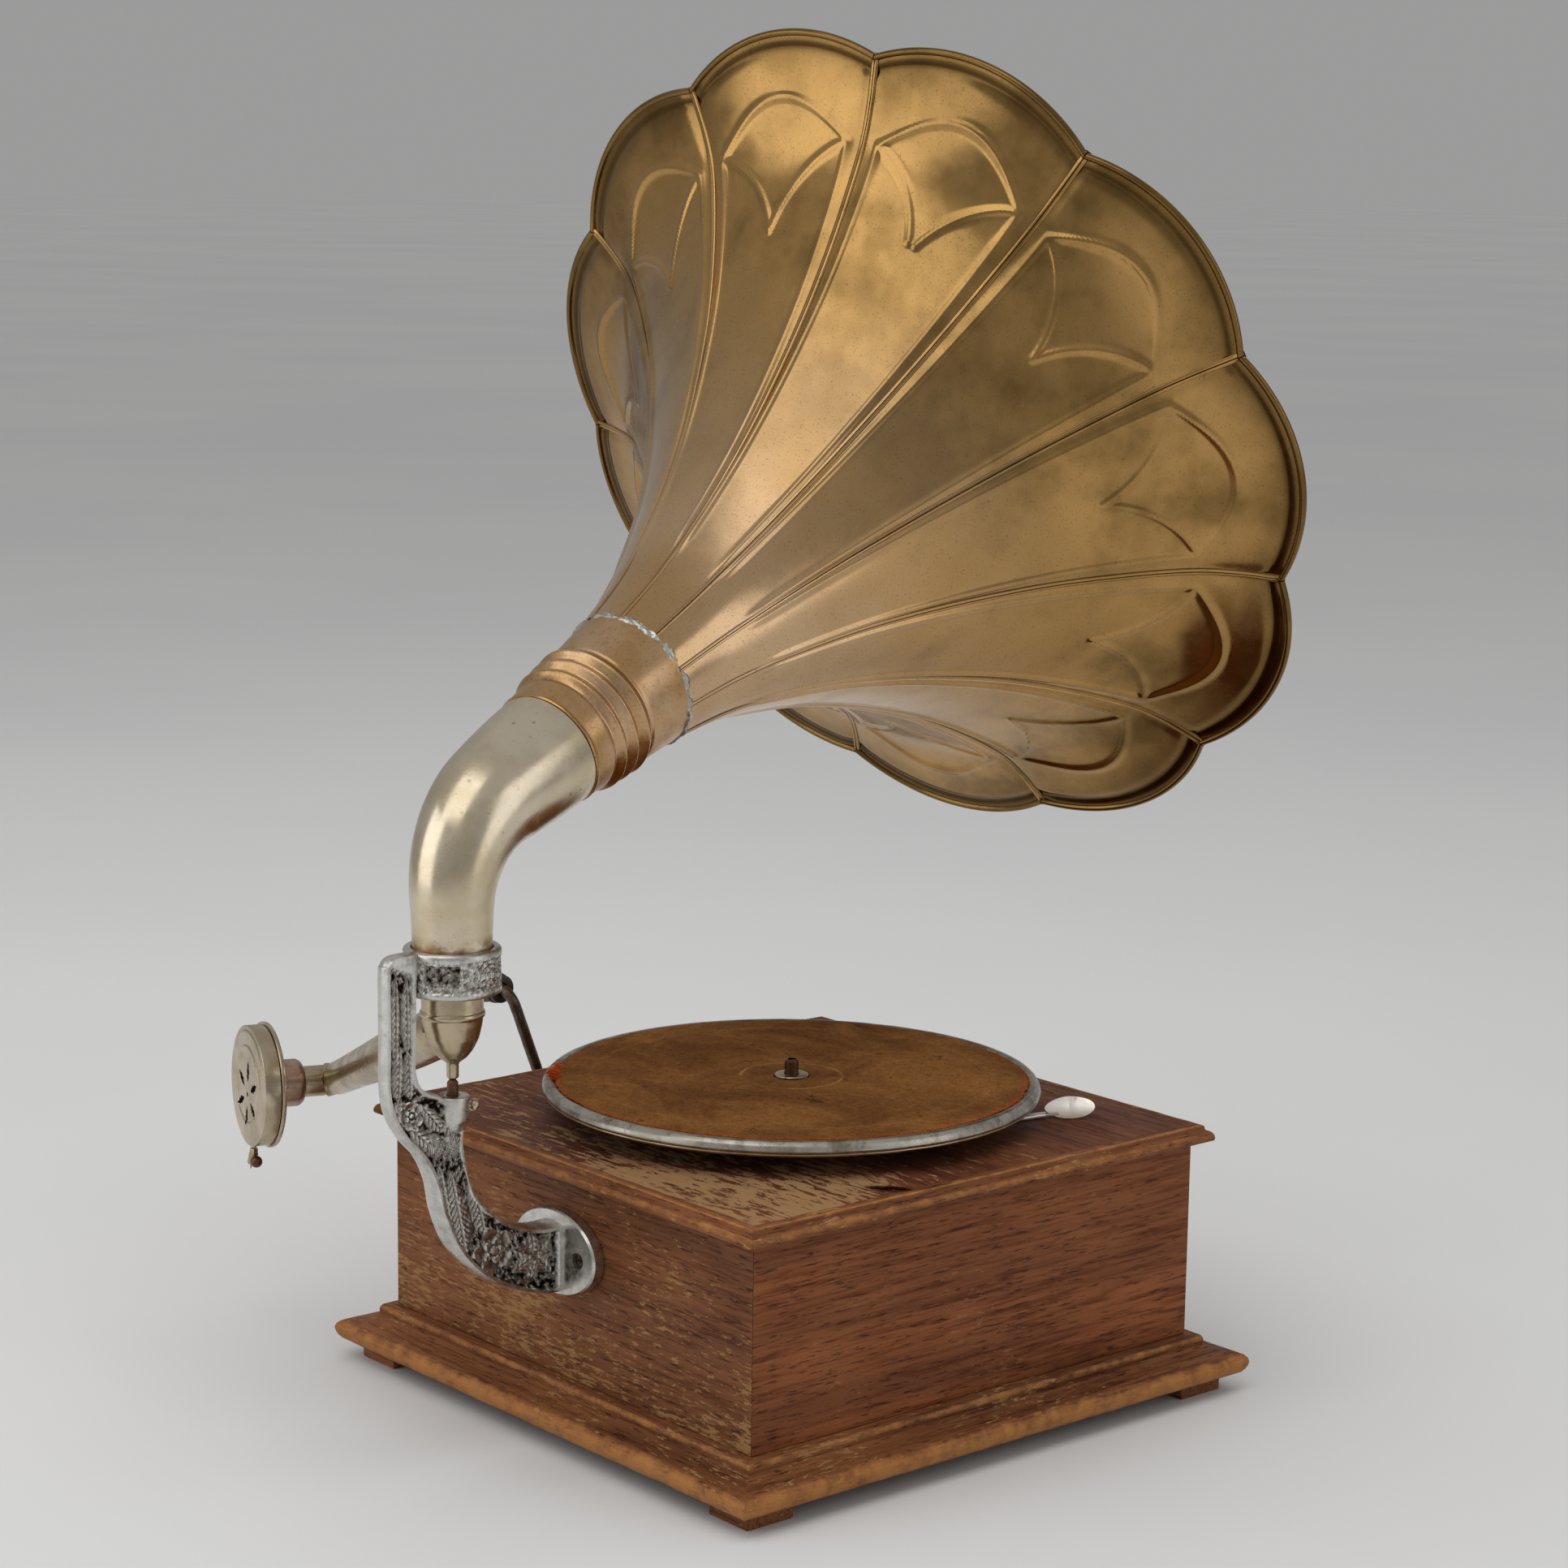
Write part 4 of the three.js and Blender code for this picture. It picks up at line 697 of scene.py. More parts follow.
def petal(k):
    """One gore of the horn: a pressed sheet rolled round a wire at the rim, with both its faces."""
    middle = SEAM_PHASE - (k + 0.5) * 2 * HALF_GORE
    across = np.linspace(-0.995, 0.995, 73)[None, :]
    share = np.concatenate([np.linspace(0, 0.7, 64)[:-1], np.linspace(0.7, 1, 92)])[:, None]
    pressed = embossing(across + 0 * share, share + 0 * across, open_tip=k == 1)
    channel = -0.9 * ridge((share - 1) * FLARE_LENGTH + 5.5, 2.6)
    seam_roll = 0.5 * smooth(np.abs(across), 0.97, 0.86) * smooth(share, 0.1, 0.3)
    sheet = pressed + channel + seam_roll
    turn = np.linspace(-0.3 * math.pi, 1.15 * math.pi, 12)[:, None]
    bead_lift = RIM_WIRE * np.cos(turn) + 0.8
    bead_run = RIM_WIRE * (1 + np.sin(turn))
    outer = sheet_point(middle, across, share, SHEET / 2 + sheet)
    bead = sheet_point(middle, across, 1.0, bead_lift, bead_run)
    inner = sheet_point(middle, across, share[::-1], sheet[::-1] - SHEET / 2)
    grid = np.concatenate([outer, bead, inner])
    blank = np.zeros_like(across)
    share_all = np.concatenate([share, 1 + 0 * turn, share[::-1]]) + blank
    groove = 0.9 * ridge((share - 1) * FLARE_LENGTH + 4.0, 2.2) + blank
    groove = np.concatenate([groove, 0 * turn + blank, groove[::-1]])
    inside = np.concatenate([0 * share, 0 * turn, 1 + 0 * share]) + blank
    values = {"reach": share_all.ravel(), "groove": groove.ravel(), "inside": inside.ravel()}
    name = str(k + 1).zfill(2)
    piece("petal_" + name, surface(grid), HORN_BRASS, "horn", "horn_gore_" + name, values, 60)


def seams():
    """Folded lock seams between the gores, with a fine groove, over the rim wire at their ends."""
    section = np.array([(-2.4, 0.2), (-2.1, 1.0), (-1.2, 1.35), (-0.4, 1.3), (0, 0.7), (0.4, 1.15), (1.6, 1.1),
                        (2.3, 0.8), (2.6, 0.1), (1.6, -1.2), (-1.6, -1.2)])
    share = np.concatenate([np.linspace(0, 1, 150), np.ones(4)])[:, None]
    run = np.concatenate([np.zeros(150), [1.2, 2.4, 3.6, 4.1]])[:, None]
    radius = np.interp(share * FLARE_LENGTH, flare_run, flare_curve[:, 1])
    scale = 0.62 + 0.3 * share
    parts = []
    for k in range(GORES):
        middle = SEAM_PHASE - k * 2 * HALF_GORE
        angle = section[:, 0] * scale / radius
        wobble = 0.25 * np.sin(share * 40 + k)
        lift = section[:, 1] * np.where(run > 0, 1.5, 1.0) + 0 * share + 0.2 * wobble
        t = np.interp(share * FLARE_LENGTH, flare_run, flare_t)
        way_at, way_r = (np.interp(t, flare_t, column) for column in flare_way.T)
        at = THROAT + np.interp(t, flare_t, flare_curve[:, 0]) - way_r * lift + way_at * run
        grid = horn_point(at, radius + way_at * lift + way_r * run, middle + angle)
        parts.append(surface(grid, False, True))
    part = joined(*parts)
    per_seam = (share + 0 * section[:, 0]).ravel()
    dark = np.where(np.abs(section[:, 0]) < 0.1, 1.0, 0.0) + np.where(np.abs(section[:, 0]) > 2.2, 0.8, 0.0)
    values = {
        "reach": np.tile(per_seam * 0.9, GORES),
        "groove": np.tile((dark + 0 * share).ravel(), GORES),
        "inside": np.tile((np.where(section[:, 1] < 0, 1.0, 0.0) + 0 * share).ravel(), GORES),
    }
    piece("horn_seams", part, HORN_BRASS, "horn", (), values, 50)


def on_horn(profile, count=160):
    return placed(turned(profile, count), HORN_MEET, HORN_AXIS)


def collar():
    """Collar between elbow and horn: three rolled beads, and a lip at the elbow."""
    at = np.linspace(ELBOW_END, THROAT - 0.3, 150)
    radius = np.interp(at, [ELBOW_END, 86, 114, 127, THROAT], [29.6, 30.9, 33.5, 34.9, 36.4])
    for bead in (92, 100.5, 109):
        radius += 2.2 * ridge(at - bead, 2.0) - 0.5 * ridge(np.abs(at - bead) - 4.2, 1.1)
    radius += 0.5 * ridge(at - ELBOW_END - 0.8, 0.7)
    outside = np.stack([radius, at], -1)
    inside = np.stack([radius[::-1] - 1.3, at[::-1]], -1)
    part = roughened(on_horn(np.concatenate([outside, inside])), 0.12, 9)
    piece("collar", part, COPPERY, "horn", "horn_collar")


def solder():
    """Ragged solder where the horn's gores meet the collar."""
    width = np.linspace(-3.4, 3.4, 15)[None, :]
    angle = np.linspace(0, 2 * math.pi, 300, endpoint=False)[:, None]
    height = np.zeros((300, 15))
    for i in range(300):
        for j in range(15):
            at = Vector((6 * math.cos(angle[i, 0]), 6 * math.sin(angle[i, 0]), width[0, j] * 0.35))
            height[i, j] = noise.fractal(at, 0.7, 2.2, 4)
    height = 0.55 + 1.1 * height - 0.16 * width**2
    grid = horn_point(THROAT + width, 36.3 + 0.18 * width + np.clip(height, -0.6, 1.3), angle)
    piece("solder_band", surface(grid, True, False), SOLDER, "horn")


def elbow():
    """The nickel elbow from the ring up into the collar."""
    foot = np.array([0, RING_Y, RING_LOW + 4.3])
    end = HORN_MEET + (ELBOW_END - 0.3) * HORN_AXIS
    path = evenly(rounded([foot, HORN_MEET, end], ELBOW_BEND, 24), 110)
    share = np.linspace(0, 1, len(path))
    radii = 18.8 + (29.3 - 18.8) * smooth(share, 0.1, 1)
    part = pipe(path, radii, 1.1, 112, HORN_SIDE)
    piece("elbow", part, ELBOW, "horn", "horn_elbow")


for gore in range(GORES):
    petal(gore)
seams()
collar()
solder()
elbow()

# ---------------------------------------------------------------- bracket
# Pairs of (y, z) on the casting's outer and inner edge, from the flange up to the ring.
RUNGS = [
    (149.5, 75.8, 149.5, 108.8), (163.5, 77, 164.4, 109), (182.5, 83.7, 180.4, 114), (198.5, 93.7, 192.7, 122.3),
    (211.5, 108, 202.4, 133.3), (219.5, 125.7, 206.7, 146.3), (223.5, 141.7, 208.4, 158), (230, 154.5, 208.5, 170),
    (239.5, 165, 218, 181.2), (246.5, 176.5, 229.7, 187.5), (249.5, 190, 234.2, 198), (249.5, 215, 234, 215),
    (249.5, 244, 233.6, 240), (248.4, 249.4, 233, 243), (244.5, 252.6, 231, 243.5), (236, 253.2, 227, 243.5),
    (228, 253.2, 224, 243.5),
]
RECESS = 2.1
IVY = (167.6, 96.5)
IVY_LOBES = [(25, 15.5), (80, 13), (135, 15), (180, 12), (225, 15), (285, 12.5), (335, 15.5)]  # heading, length
# Leaves in the casting's panel: root and tip as (y, z), and width.
LEAVES = [
    ((208, 104), (216, 148), 17), ((197, 113), (205, 148), 12), ((216, 114), (222, 152), 11),
    ((226, 160), (239, 172), 9), ((219, 166), (232, 182), 9), ((242, 186), (247, 169), 7),
    ((236.6, 184), (238, 209), 9), ((243.6, 184), (242.4, 213), 8.5), ((238.2, 206), (238.6, 246), 7),
    ((244.8, 203), (244.4, 248), 7), ((213, 163), (221, 173), 6), ((213, 163), (212, 176), 6),
]


def strip_grid(rows, columns):
    """The casting's side face as (y, z) points, with the run along it and the place across it."""
    rungs = catmull(RUNGS, np.linspace(0, 1, rows))
    outer, inner = rungs[:, :2], rungs[:, 2:]
    across = np.linspace(0, 1, columns)[None, :, None]
    face = outer[:, None] * (1 - across) + inner[:, None] * across
    centre = (outer + inner) / 2
    run = np.concatenate([[0], np.cumsum(np.linalg.norm(np.diff(centre, axis=0), axis=1))])
    width = np.linalg.norm(outer - inner, axis=1)
    s = run[:, None] + np.zeros((1, columns))
    q = (across[..., 0] - 0.5) * width[:, None]
    return face, s, q, width


def leaf(y, z, root, tip, width):
    """A raised pointed leaf with a sunk midrib and slanting slashes, from its root to its tip."""
    way = np.subtract(tip, root)
    length = np.hypot(*way)
    along = ((y - root[0]) * way[0] + (z - root[1]) * way[1]) / length**2
    off = ((z - root[1]) * way[0] - (y - root[0]) * way[1]) / length
    half = width / 2 * np.sin(math.pi * np.clip(along, 0, 1) ** 0.75) + 1e-6
    dome = np.sqrt(np.clip(1 - (off / half) ** 2, 0, 1))
    ribs = 0.14 * np.sin(along * length * 2.0 + np.abs(off) * 2.2)
    height = dome * (0.85 + ribs) - 0.4 * ridge(off, 0.5)
    return np.where((along > 0) & (along < 1) & (np.abs(off) < half), np.clip(height, 0, 1), 0)


def rose(y, z, centre, radius):
    """Five outer and five inner petals round a button."""
    a, b = y - centre[0], z - centre[1]
    out, turn = np.hypot(a, b) / radius, np.arctan2(b, a)
    lobes = 0.88 + 0.12 * np.cos(5 * turn)
    crease = ridge(np.cos(5 * turn) + 1, 0.25)
    outer = np.where(out < lobes, 0.72 + 0.2 * np.sin(out * 9) - 0.35 * crease, 0)
    whorl = 0.5 + 0.08 * np.cos(5 * turn + math.pi)
    inner_crease = ridge(np.cos(5 * turn + math.pi) + 1, 0.25)
    inner = 0.9 - 0.3 * inner_crease - 0.5 * ridge(out - whorl, 0.06)
    height = np.where(out < whorl, inner, outer)
    height = np.where(np.abs(out - 0.22) < 0.04, 0.35, height)
    return np.where(out < 0.18, 1 - 4 * out**2, height)


def cone(y, z, centre, heading, length, width, pitch=1.5):
    """An oval seed head with crossed grooves."""
    c, d = math.cos(math.radians(heading)), math.sin(math.radians(heading))
    a, b = (y - centre[0]) * c + (z - centre[1]) * d, (z - centre[1]) * c - (y - centre[0]) * d
    dome = np.clip(1 - (2 * a / length) ** 2 - (2 * b / width) ** 2, 0, 1)
    grid = np.abs(np.sin((a + b) * math.pi / pitch)) * np.abs(np.sin((a - b) * math.pi / pitch))
    return np.where(dome > 0, np.sqrt(dome) * (0.6 + 0.4 * grid**0.5), 0)


def relief(y, z):
    """Leaves, roses and seed heads in the casting's panel, as a share of the recess's depth."""
    raised = [rose(y, z, (191.8, 103.6), 12.6), rose(y, z, (236.5, 176.5), 7.5),
              cone(y, z, (223.5, 160), 35, 15.5, 12), cone(y, z, (213.6, 158.5), 75, 14, 11)]
    for heading, length in IVY_LOBES:
        turn = math.radians(heading)
        tip = (IVY[0] + length * math.cos(turn), IVY[1] + length * math.sin(turn))
        raised.append(leaf(y, z, IVY, tip, 10))
    raised += [leaf(y, z, *each) for each in LEAVES]
    return np.max(raised, axis=0)


def casting_half(z):
    """Half the casting's thickness across X: heavy at the flange, light along the upright."""
    return (16 + (8.4 - 16) * smooth(z, 100, 195)) / 2


def bracket_arm():
    """The arm with a raised polished border round a recessed, dirt-filled relief on both sides."""
    face, s, q, width = strip_grid(460, 60)
    border = np.clip(1.5 / width, 0, 0.3)[:, None]
    t = np.linspace(0, 1, 60)[None, :]
    inset = smooth(np.minimum(t, 1 - t), border, border * 1.8)
    inset = inset * smooth(s, 3.5, 5.5) * smooth(s, s.max() - 15, s.max() - 18)
    raised = relief(face[..., 0], face[..., 1])
    grit = np.zeros_like(raised)
    for i in range(grit.shape[0]):
        for j in range(grit.shape[1]):
            grit[i, j] = noise.fractal(Vector((s[i, j] * 0.32, q[i, j] * 0.32, 3)), 0.7, 2.2, 4)
    ground = np.clip(0.3 + 0.75 * grit, 0, 0.62)
    sunk = inset * RECESS * np.clip(1 - 0.92 * np.maximum(raised, ground) - 0.08 * grit, 0, 1.1)
    half = casting_half(face[..., 1])
    left = np.stack([-half + sunk, face[..., 0], face[..., 1]], -1)
    right = np.stack([half - sunk, face[..., 0], face[..., 1]], -1)
    bulge = 1.1

    def edge_rows(end, sign):
        steps = np.linspace(0, 1, 9)[1:-1]
        a, b = (left, right) if end else (right, left)
        column = -1 if end else 0
        out = face[:, column] - face[:, -2 if end else 1]
        out = out / np.linalg.norm(out, axis=1)[:, None]
        rows = []
        for f in steps:
            p = a[:, column] * (1 - f) + b[:, column] * f
            p[:, 1:] += out * bulge * math.sin(math.pi * f) * sign
            rows.append(p)
        return np.stack(rows, 1)

    loop = np.concatenate([left, edge_rows(True, 1), right[:, ::-1], edge_rows(False, 1)], 1)
    depth = sunk / RECESS
    plain = np.zeros((len(s), 7))
    depth = np.concatenate([depth, plain, depth[:, ::-1], plain], 1)
    return surface(loop, False, True), depth.ravel()


def bracket_ring():
    """The ring that carries the elbow: bright chamfered rims, a rough band and dark panels."""
    count = 420
    angle = np.linspace(0, 2 * math.pi, count, endpoint=False)
    height = np.concatenate([[RING_LOW, RING_LOW + 0.4, RING_LOW + 1.2], np.linspace(RING_LOW + 3, RING_TOP - 3.6, 34),
                             [RING_TOP - 1.4, RING_TOP - 0.5, RING_TOP]])
    radius = np.full((count, len(height)), float(RING_R))
    band = smooth(height, RING_LOW + 3, RING_LOW + 3.8) * smooth(height, RING_TOP - 3.6, RING_TOP - 4.4)
    depth = np.zeros_like(radius)
    for i, a in enumerate(angle):
        for j, z in enumerate(height):
            rough = noise.fractal(Vector((a * 9, z * 0.42, 1)), 0.8, 2.1, 4)
            panel = smooth(math.sin(3 * a + 0.9), 0.35, 0.5) * smooth(abs(z - 243.5), 5.2, 4.6)
            depth[i, j] = band[j] * np.clip(0.3 - 0.45 * rough + 0.4 * panel, 0, 1)
    radius -= 1.7 * depth
    radius[:, [0, -1]] -= 1.3
    radius[:, [1, -2]] -= 0.5
    inner = np.array([(RING_BORE + 0.6, RING_TOP), (RING_BORE, RING_TOP - 0.8), (RING_BORE, 236), (NECK_BORE, 236),
                      (NECK_BORE, RING_LOW)])
    radius = np.concatenate([radius, np.tile(inner[:, 0], (count, 1))], 1)
    heights = np.concatenate([height, inner[:, 1]])
    depth = np.concatenate([depth, np.zeros((count, len(inner)))], 1)
    ca, sa = np.cos(angle)[:, None], np.sin(angle)[:, None]
    grid = np.stack([radius * ca, RING_Y + radius * sa, heights + 0 * radius], -1)
    return surface(grid, True, True), depth.ravel()


def bracket():
    arm, arm_depth = bracket_arm()
    made = piece("bracket_arm", arm, CAST, "case", "bracket", {"depth": arm_depth})
    bore = [(0, 0), (NECK_BORE, 0), (NECK_BORE, 6), (RING_BORE, 6), (RING_BORE, 20), (0, 20)]
    carve(made, placed(turned(bore, 96), (0, RING_Y, 231), UP))
    ring, ring_depth = bracket_ring()
    piece("bracket_ring", ring, CAST, "case", (), {"depth": ring_depth})
    bore = 2.95
    outline = [(bore, BOSS_LOW - 3), (3.5, BOSS_LOW - 3), (6.2, BOSS_LOW), (BOSS_R, BOSS_LOW + 4), (BOSS_R, BOSS_TOP),
               (bore, BOSS_TOP)]
    boss = placed(turned(softened(outline, 1.1, 4), 72), (0, RING_Y, 0), UP)
    boss = carve(piece("bracket_boss", roughened(boss, 0.04, 5), CAST, "case", (), {"depth": 0.0}),
                 placed(turned([(0, 0), (1.5, 0), (1.5, 8), (0, 8)], 24), (0, RING_Y - 3, 175), (0, -1, 0)))
    plate_at = np.array([0, CASE_Y + 0.3, FLANGE_Z])
    profile = softened([(0, 0), (1, 0), (1, 6.5), (0.62, 6.9), (0, 6.9)], 0.05, 4)
    points, faces = turned(profile, 128)
    points = points * np.array([32.3, 21.3, 1.0])
    squash = np.clip(1.2 * (np.hypot(points[:, 0] / 32.3, points[:, 1] / 21.3) - 0.96) / 0.04, 0, 1.2)
    points[:, 2] -= squash * (points[:, 2] > 3)
    flange = placed((points, faces), (0, 0, 0), UP)
    points = np.stack([flange[0][:, 0], flange[0][:, 2], flange[0][:, 1]], -1) + plate_at
    made = piece("bracket_flange", (points, flange[1]), CAST, "case", (), {"depth": 0.0})
    holes = []
    for x in (-FLANGE_SCREW_X, FLANGE_SCREW_X):
        outline = [(0, -10), (2.4, -10), (2.4, -2.6), (4.2, -2.6), (4.2, 4), (0, 4)]
        holes.append(placed(turned(outline, 40), (x, FLANGE_FACE, FLANGE_Z), (0, 1, 0)))
        head = softened([(0, -14), (2, -12), (2, -2.5), (3.9, -2.5), (3.9, -2), (3, -1.6), (0, -1.5)], 0.3)
        side = "left" if x < 0 else "right"
        screw = piece("wood_screw_" + side, placed(turned(head, 40), (x, FLANGE_FACE, FLANGE_Z), (0, 1, 0)),
                      RUSTY, "case", "flange_screw_" + side)
        slot = block((x - 5, FLANGE_FACE - 2.1, FLANGE_Z - 0.4), (x + 5, FLANGE_FACE + 1, FLANGE_Z + 0.4), 0.05)
        carve(screw, slot)
    carve(made, *holes)
    shank = softened([(0, -8.9), (1.2, -8.9), (1.2, -2.2), (0, -2.2)], 0.2)
    ball = [(3.1 * math.cos(a), 0.8 * 3.1 * math.sin(a)) for a in np.linspace(-math.pi / 2, math.pi / 2, 18)]
    knob = joined(turned(shank, 24), turned(ball, 40))
    piece("boss_screw", placed(knob, (0, RING_Y - 12, 175), (0, -1, 0)), PALE_NICKEL, "case", "set_screw")
    pin = softened([(0, 160.5), (2.7, 160.5), (2.7, 188), (1.4, 189.7), (0, 189.7)], 0.4)
    piece("arm_pivot_pin", placed(turned(pin, 40), (0, RING_Y, 0), UP), BROWN_STEEL, "case", "pivot_pin")


bracket()

# ---------------------------------------------------------------- tonearm and soundbox
arm_out = unit([ARM_BEND[0], ARM_BEND[1] - RING_Y, 0])
ARM_HINGE = np.array([0, RING_Y, 213]) + 6 * arm_out
ARM_WAY = unit(ARM_BEND - ARM_HINGE)
ARM_ACROSS = np.cross(UP, arm_out)


def ball_profile(radius, low=-1.0, count=24):
    angles = np.linspace(-math.pi / 2, math.pi / 2, count)
    return [(radius * math.cos(a), radius * math.sin(a)) for a in angles if math.sin(a) >= low]


def tonearm():
    neck = [(0, 190), (2.9, 190), (2.9, 197.6), (6.8, 200.4), (9.9, 204.4), (12.5, 209.8), (14.1, 216.5),
            (14.5, 220), (15.4, 220.7), (15.6, 221.7), (15.4, 222.7), (14.7, 223.4), (14.7, 235.6), (11, 235.6),
            (11, 227), (0, 227)]
    bulb = piece("arm_bulb", placed(turned(softened(neck, 1.2, 4), 112), (0, RING_Y, 0), UP), NICKEL,
                 "tonearm_pivot", "tonearm_bulb")
    cutters = [placed(turned(ball_profile(11.5), 48), ARM_HINGE, UP)]
    for degrees in (0, 8, 16, 24, 34):
        turn = Matrix.Rotation(math.radians(-degrees), 3, Vector(ARM_ACROSS))
        way = np.array(turn @ Vector(ARM_WAY))
        cutters.append(placed(turned([(0, 0), (11.5, 0), (11.5, 40), (0, 40)], 48), ARM_HINGE, way))
    carve(bulb, *cutters)
    end = BOX_FACE - 36 * BOX_AXIS
    corner_path = rounded([ARM_HINGE + 4 * ARM_WAY, ARM_BEND, end], 9, 14)
    path = evenly(corner_path, 150)
    share = np.linspace(0, 1, len(path))
    radii = 12.4 + (8.8 - 12.4) * smooth(share, 0.2, 0.98) - 1.9 * smooth(share, 0.05, 0.01)
    dent = 0.6 * ridge(share - 0.945, 0.012) + 1.1 * smooth(share, 0.968, 0.974)
    tube = pipe(path, radii - dent, 1.2, 72)
    sleeve = placed(turned(softened([(6.3, 29), (8, 29), (8, 41), (6.3, 41)], 0.3), 72), BOX_FACE, -BOX_AXIS)
    piece("arm_tube", joined(tube, sleeve), NICKEL, "tonearm", "tonearm_tube")
    joint = piece("arm_joint", placed(turned(ball_profile(11), 64), ARM_HINGE, UP), NICKEL, "tonearm")
    carve(joint, placed(turned([(0, -14), (9, -14), (9, 14), (0, 14)], 48), ARM_HINGE, ARM_WAY),
          placed(turned([(0, -14), (1.65, -14), (1.65, 14), (0, 14)], 24), ARM_HINGE, ARM_ACROSS))
    pin = softened([(0, -12.8), (1.35, -12.8), (1.35, 12.8), (0, 12.8)], 0.2)
    piece("arm_hinge_pin", placed(turned(pin, 24), ARM_HINGE, ARM_ACROSS), RUSTY, "tonearm_pivot",
          "tonearm_hinge_pin")


def on_box(profile, count=96):
    return placed(turned(profile, count), BOX_FACE, -BOX_AXIS)


def soundbox():
    ring = softened([(6.9, 11.9), (12.3, 11.9), (12.3, 26.2), (10.6, 28.7), (6.9, 28.7)], 1.6, 5)
    piece("box_collar", on_box(ring), BOX_COLLAR, "soundbox", "soundbox_collar")
    plate = softened([(6.9, 9.4), (BOX_R, 9.4), (BOX_R, 11.6), (6.9, 11.6)], 0.5)
    piece("box_back", on_box(plate, 144), PALE_NICKEL, "soundbox", "soundbox_back")
    outline = [(0, 0.2), (18.5, 0.2), (19.4, -0.35), (20.6, -0.35), (21.5, 0.2), (28.2, 0.2), (29.2, 0.7), (31.3, 0.7),
               (31.3, 9.1), (29.6, 9.1), (29.6, 2.2), (0, 2.2)]
    shell = piece("box_shell", on_box(softened(outline, 0.35), 144), PALE_NICKEL, "soundbox",
                  "soundbox_shell")
    down = unit(-UP - BOX_DIP * BOX_AXIS)
    slots_at = BOX_FACE + SLOTS_DOWN * down
    cutters = []
    for k in range(6):
        t = np.linspace(0, 1, 16)
        wave = 0.5 * np.sin(t * 23 + 2 * k) + 0.3 * np.sin(t * 41 + k)
        near = np.stack([6 + 12 * t, (2.1 + wave) * np.sin(math.pi * t)], -1)
        far = near[::-1] * [1, -0.8]
        loop = np.concatenate([near, far[1:-1]])
        turn = k * math.pi / 3 + 0.3
        c, d = math.cos(turn), math.sin(turn)
        flat = loop @ np.array([[c, d], [-d, c]])
        bottom = np.column_stack([flat, np.full(len(flat), -2.0)])
        top = np.column_stack([flat, np.full(len(flat), 4.0)])
        n = len(flat)
        faces = [[i, (i + 1) % n, n + (i + 1) % n, n + i] for i in range(n)]
        faces += [list(range(n))[::-1], list(range(n, 2 * n))]
        cutters.append(placed((np.concatenate([bottom, top]), faces), slots_at, -BOX_AXIS))
    cutters.append(placed(turned([(0, -2), (1.3, -2), (1.3, 4), (0, 4)], 32), slots_at, -BOX_AXIS))
    sideways = -unit(np.cross(UP, BOX_AXIS))
    slant = math.radians(30)
    needle_way = math.cos(slant) * down + math.sin(slant) * sideways
    hub = BOX_FACE - STYLUS_BEHIND * BOX_AXIS
    bar_from = hub + 24 * down
    cutters.append(placed(turned([(0, 0), (2.6, 0), (2.6, 16), (0, 16)], 32), bar_from, down))
    carve(shell, *cutters)
    film = softened([(0, 7.6), (28.6, 7.6), (28.6, 8.2), (0, 8.2)], 0.1)
    piece("diaphragm", on_box(film), MICA, "soundbox", "soundbox_diaphragm")
    bar = softened([(0, -22), (1.1, -22), (1.4, 0), (1.4, 8.9), (0, 8.9)], 0.3)
    piece("needle_bar", placed(turned(bar, 32), bar_from, down), PALE_NICKEL, "soundbox", "stylus_bar")
    top = bar_from + 12 * down
    collet = softened([(0, -2.7), (2.4, -2.7), (2.4, 0.8), (0, 0.8)], 0.5)
    holder = softened([(0.95, 0.8), (0.95, 6.6), (2.4, 6.6), (2.4, 0), (0, 0), (0, 0.8)], 0.4)
    chuck = joined(placed(turned(collet, 6), top, down), placed(turned(holder, 32), top, needle_way))
    piece("needle_clamp", chuck, NICKEL, "soundbox", "needle_chuck")
    screw_at = top + 3.8 * needle_way
    stem = softened([(0, 1.8), (0.8, 1.8), (0.8, 4), (0, 4)], 0.15)
    head = placed(turned(ball_profile(3.1), 40), screw_at - 6.8 * sideways, -sideways)
    piece("thumb_screw", joined(placed(turned(stem, 20), screw_at, -sideways), head), BROWN_STEEL, "needle_screw",
          "needle_screw")
    point = softened([(0, 1), (0.6, 1), (0.6, 8.2), (0, 12)], 0.1)
    piece("steel_needle", placed(turned(point, 20), top, needle_way), MOTOR_STEEL, "soundbox", "needle")


tonearm()
soundbox()

# ---------------------------------------------------------------- turntable


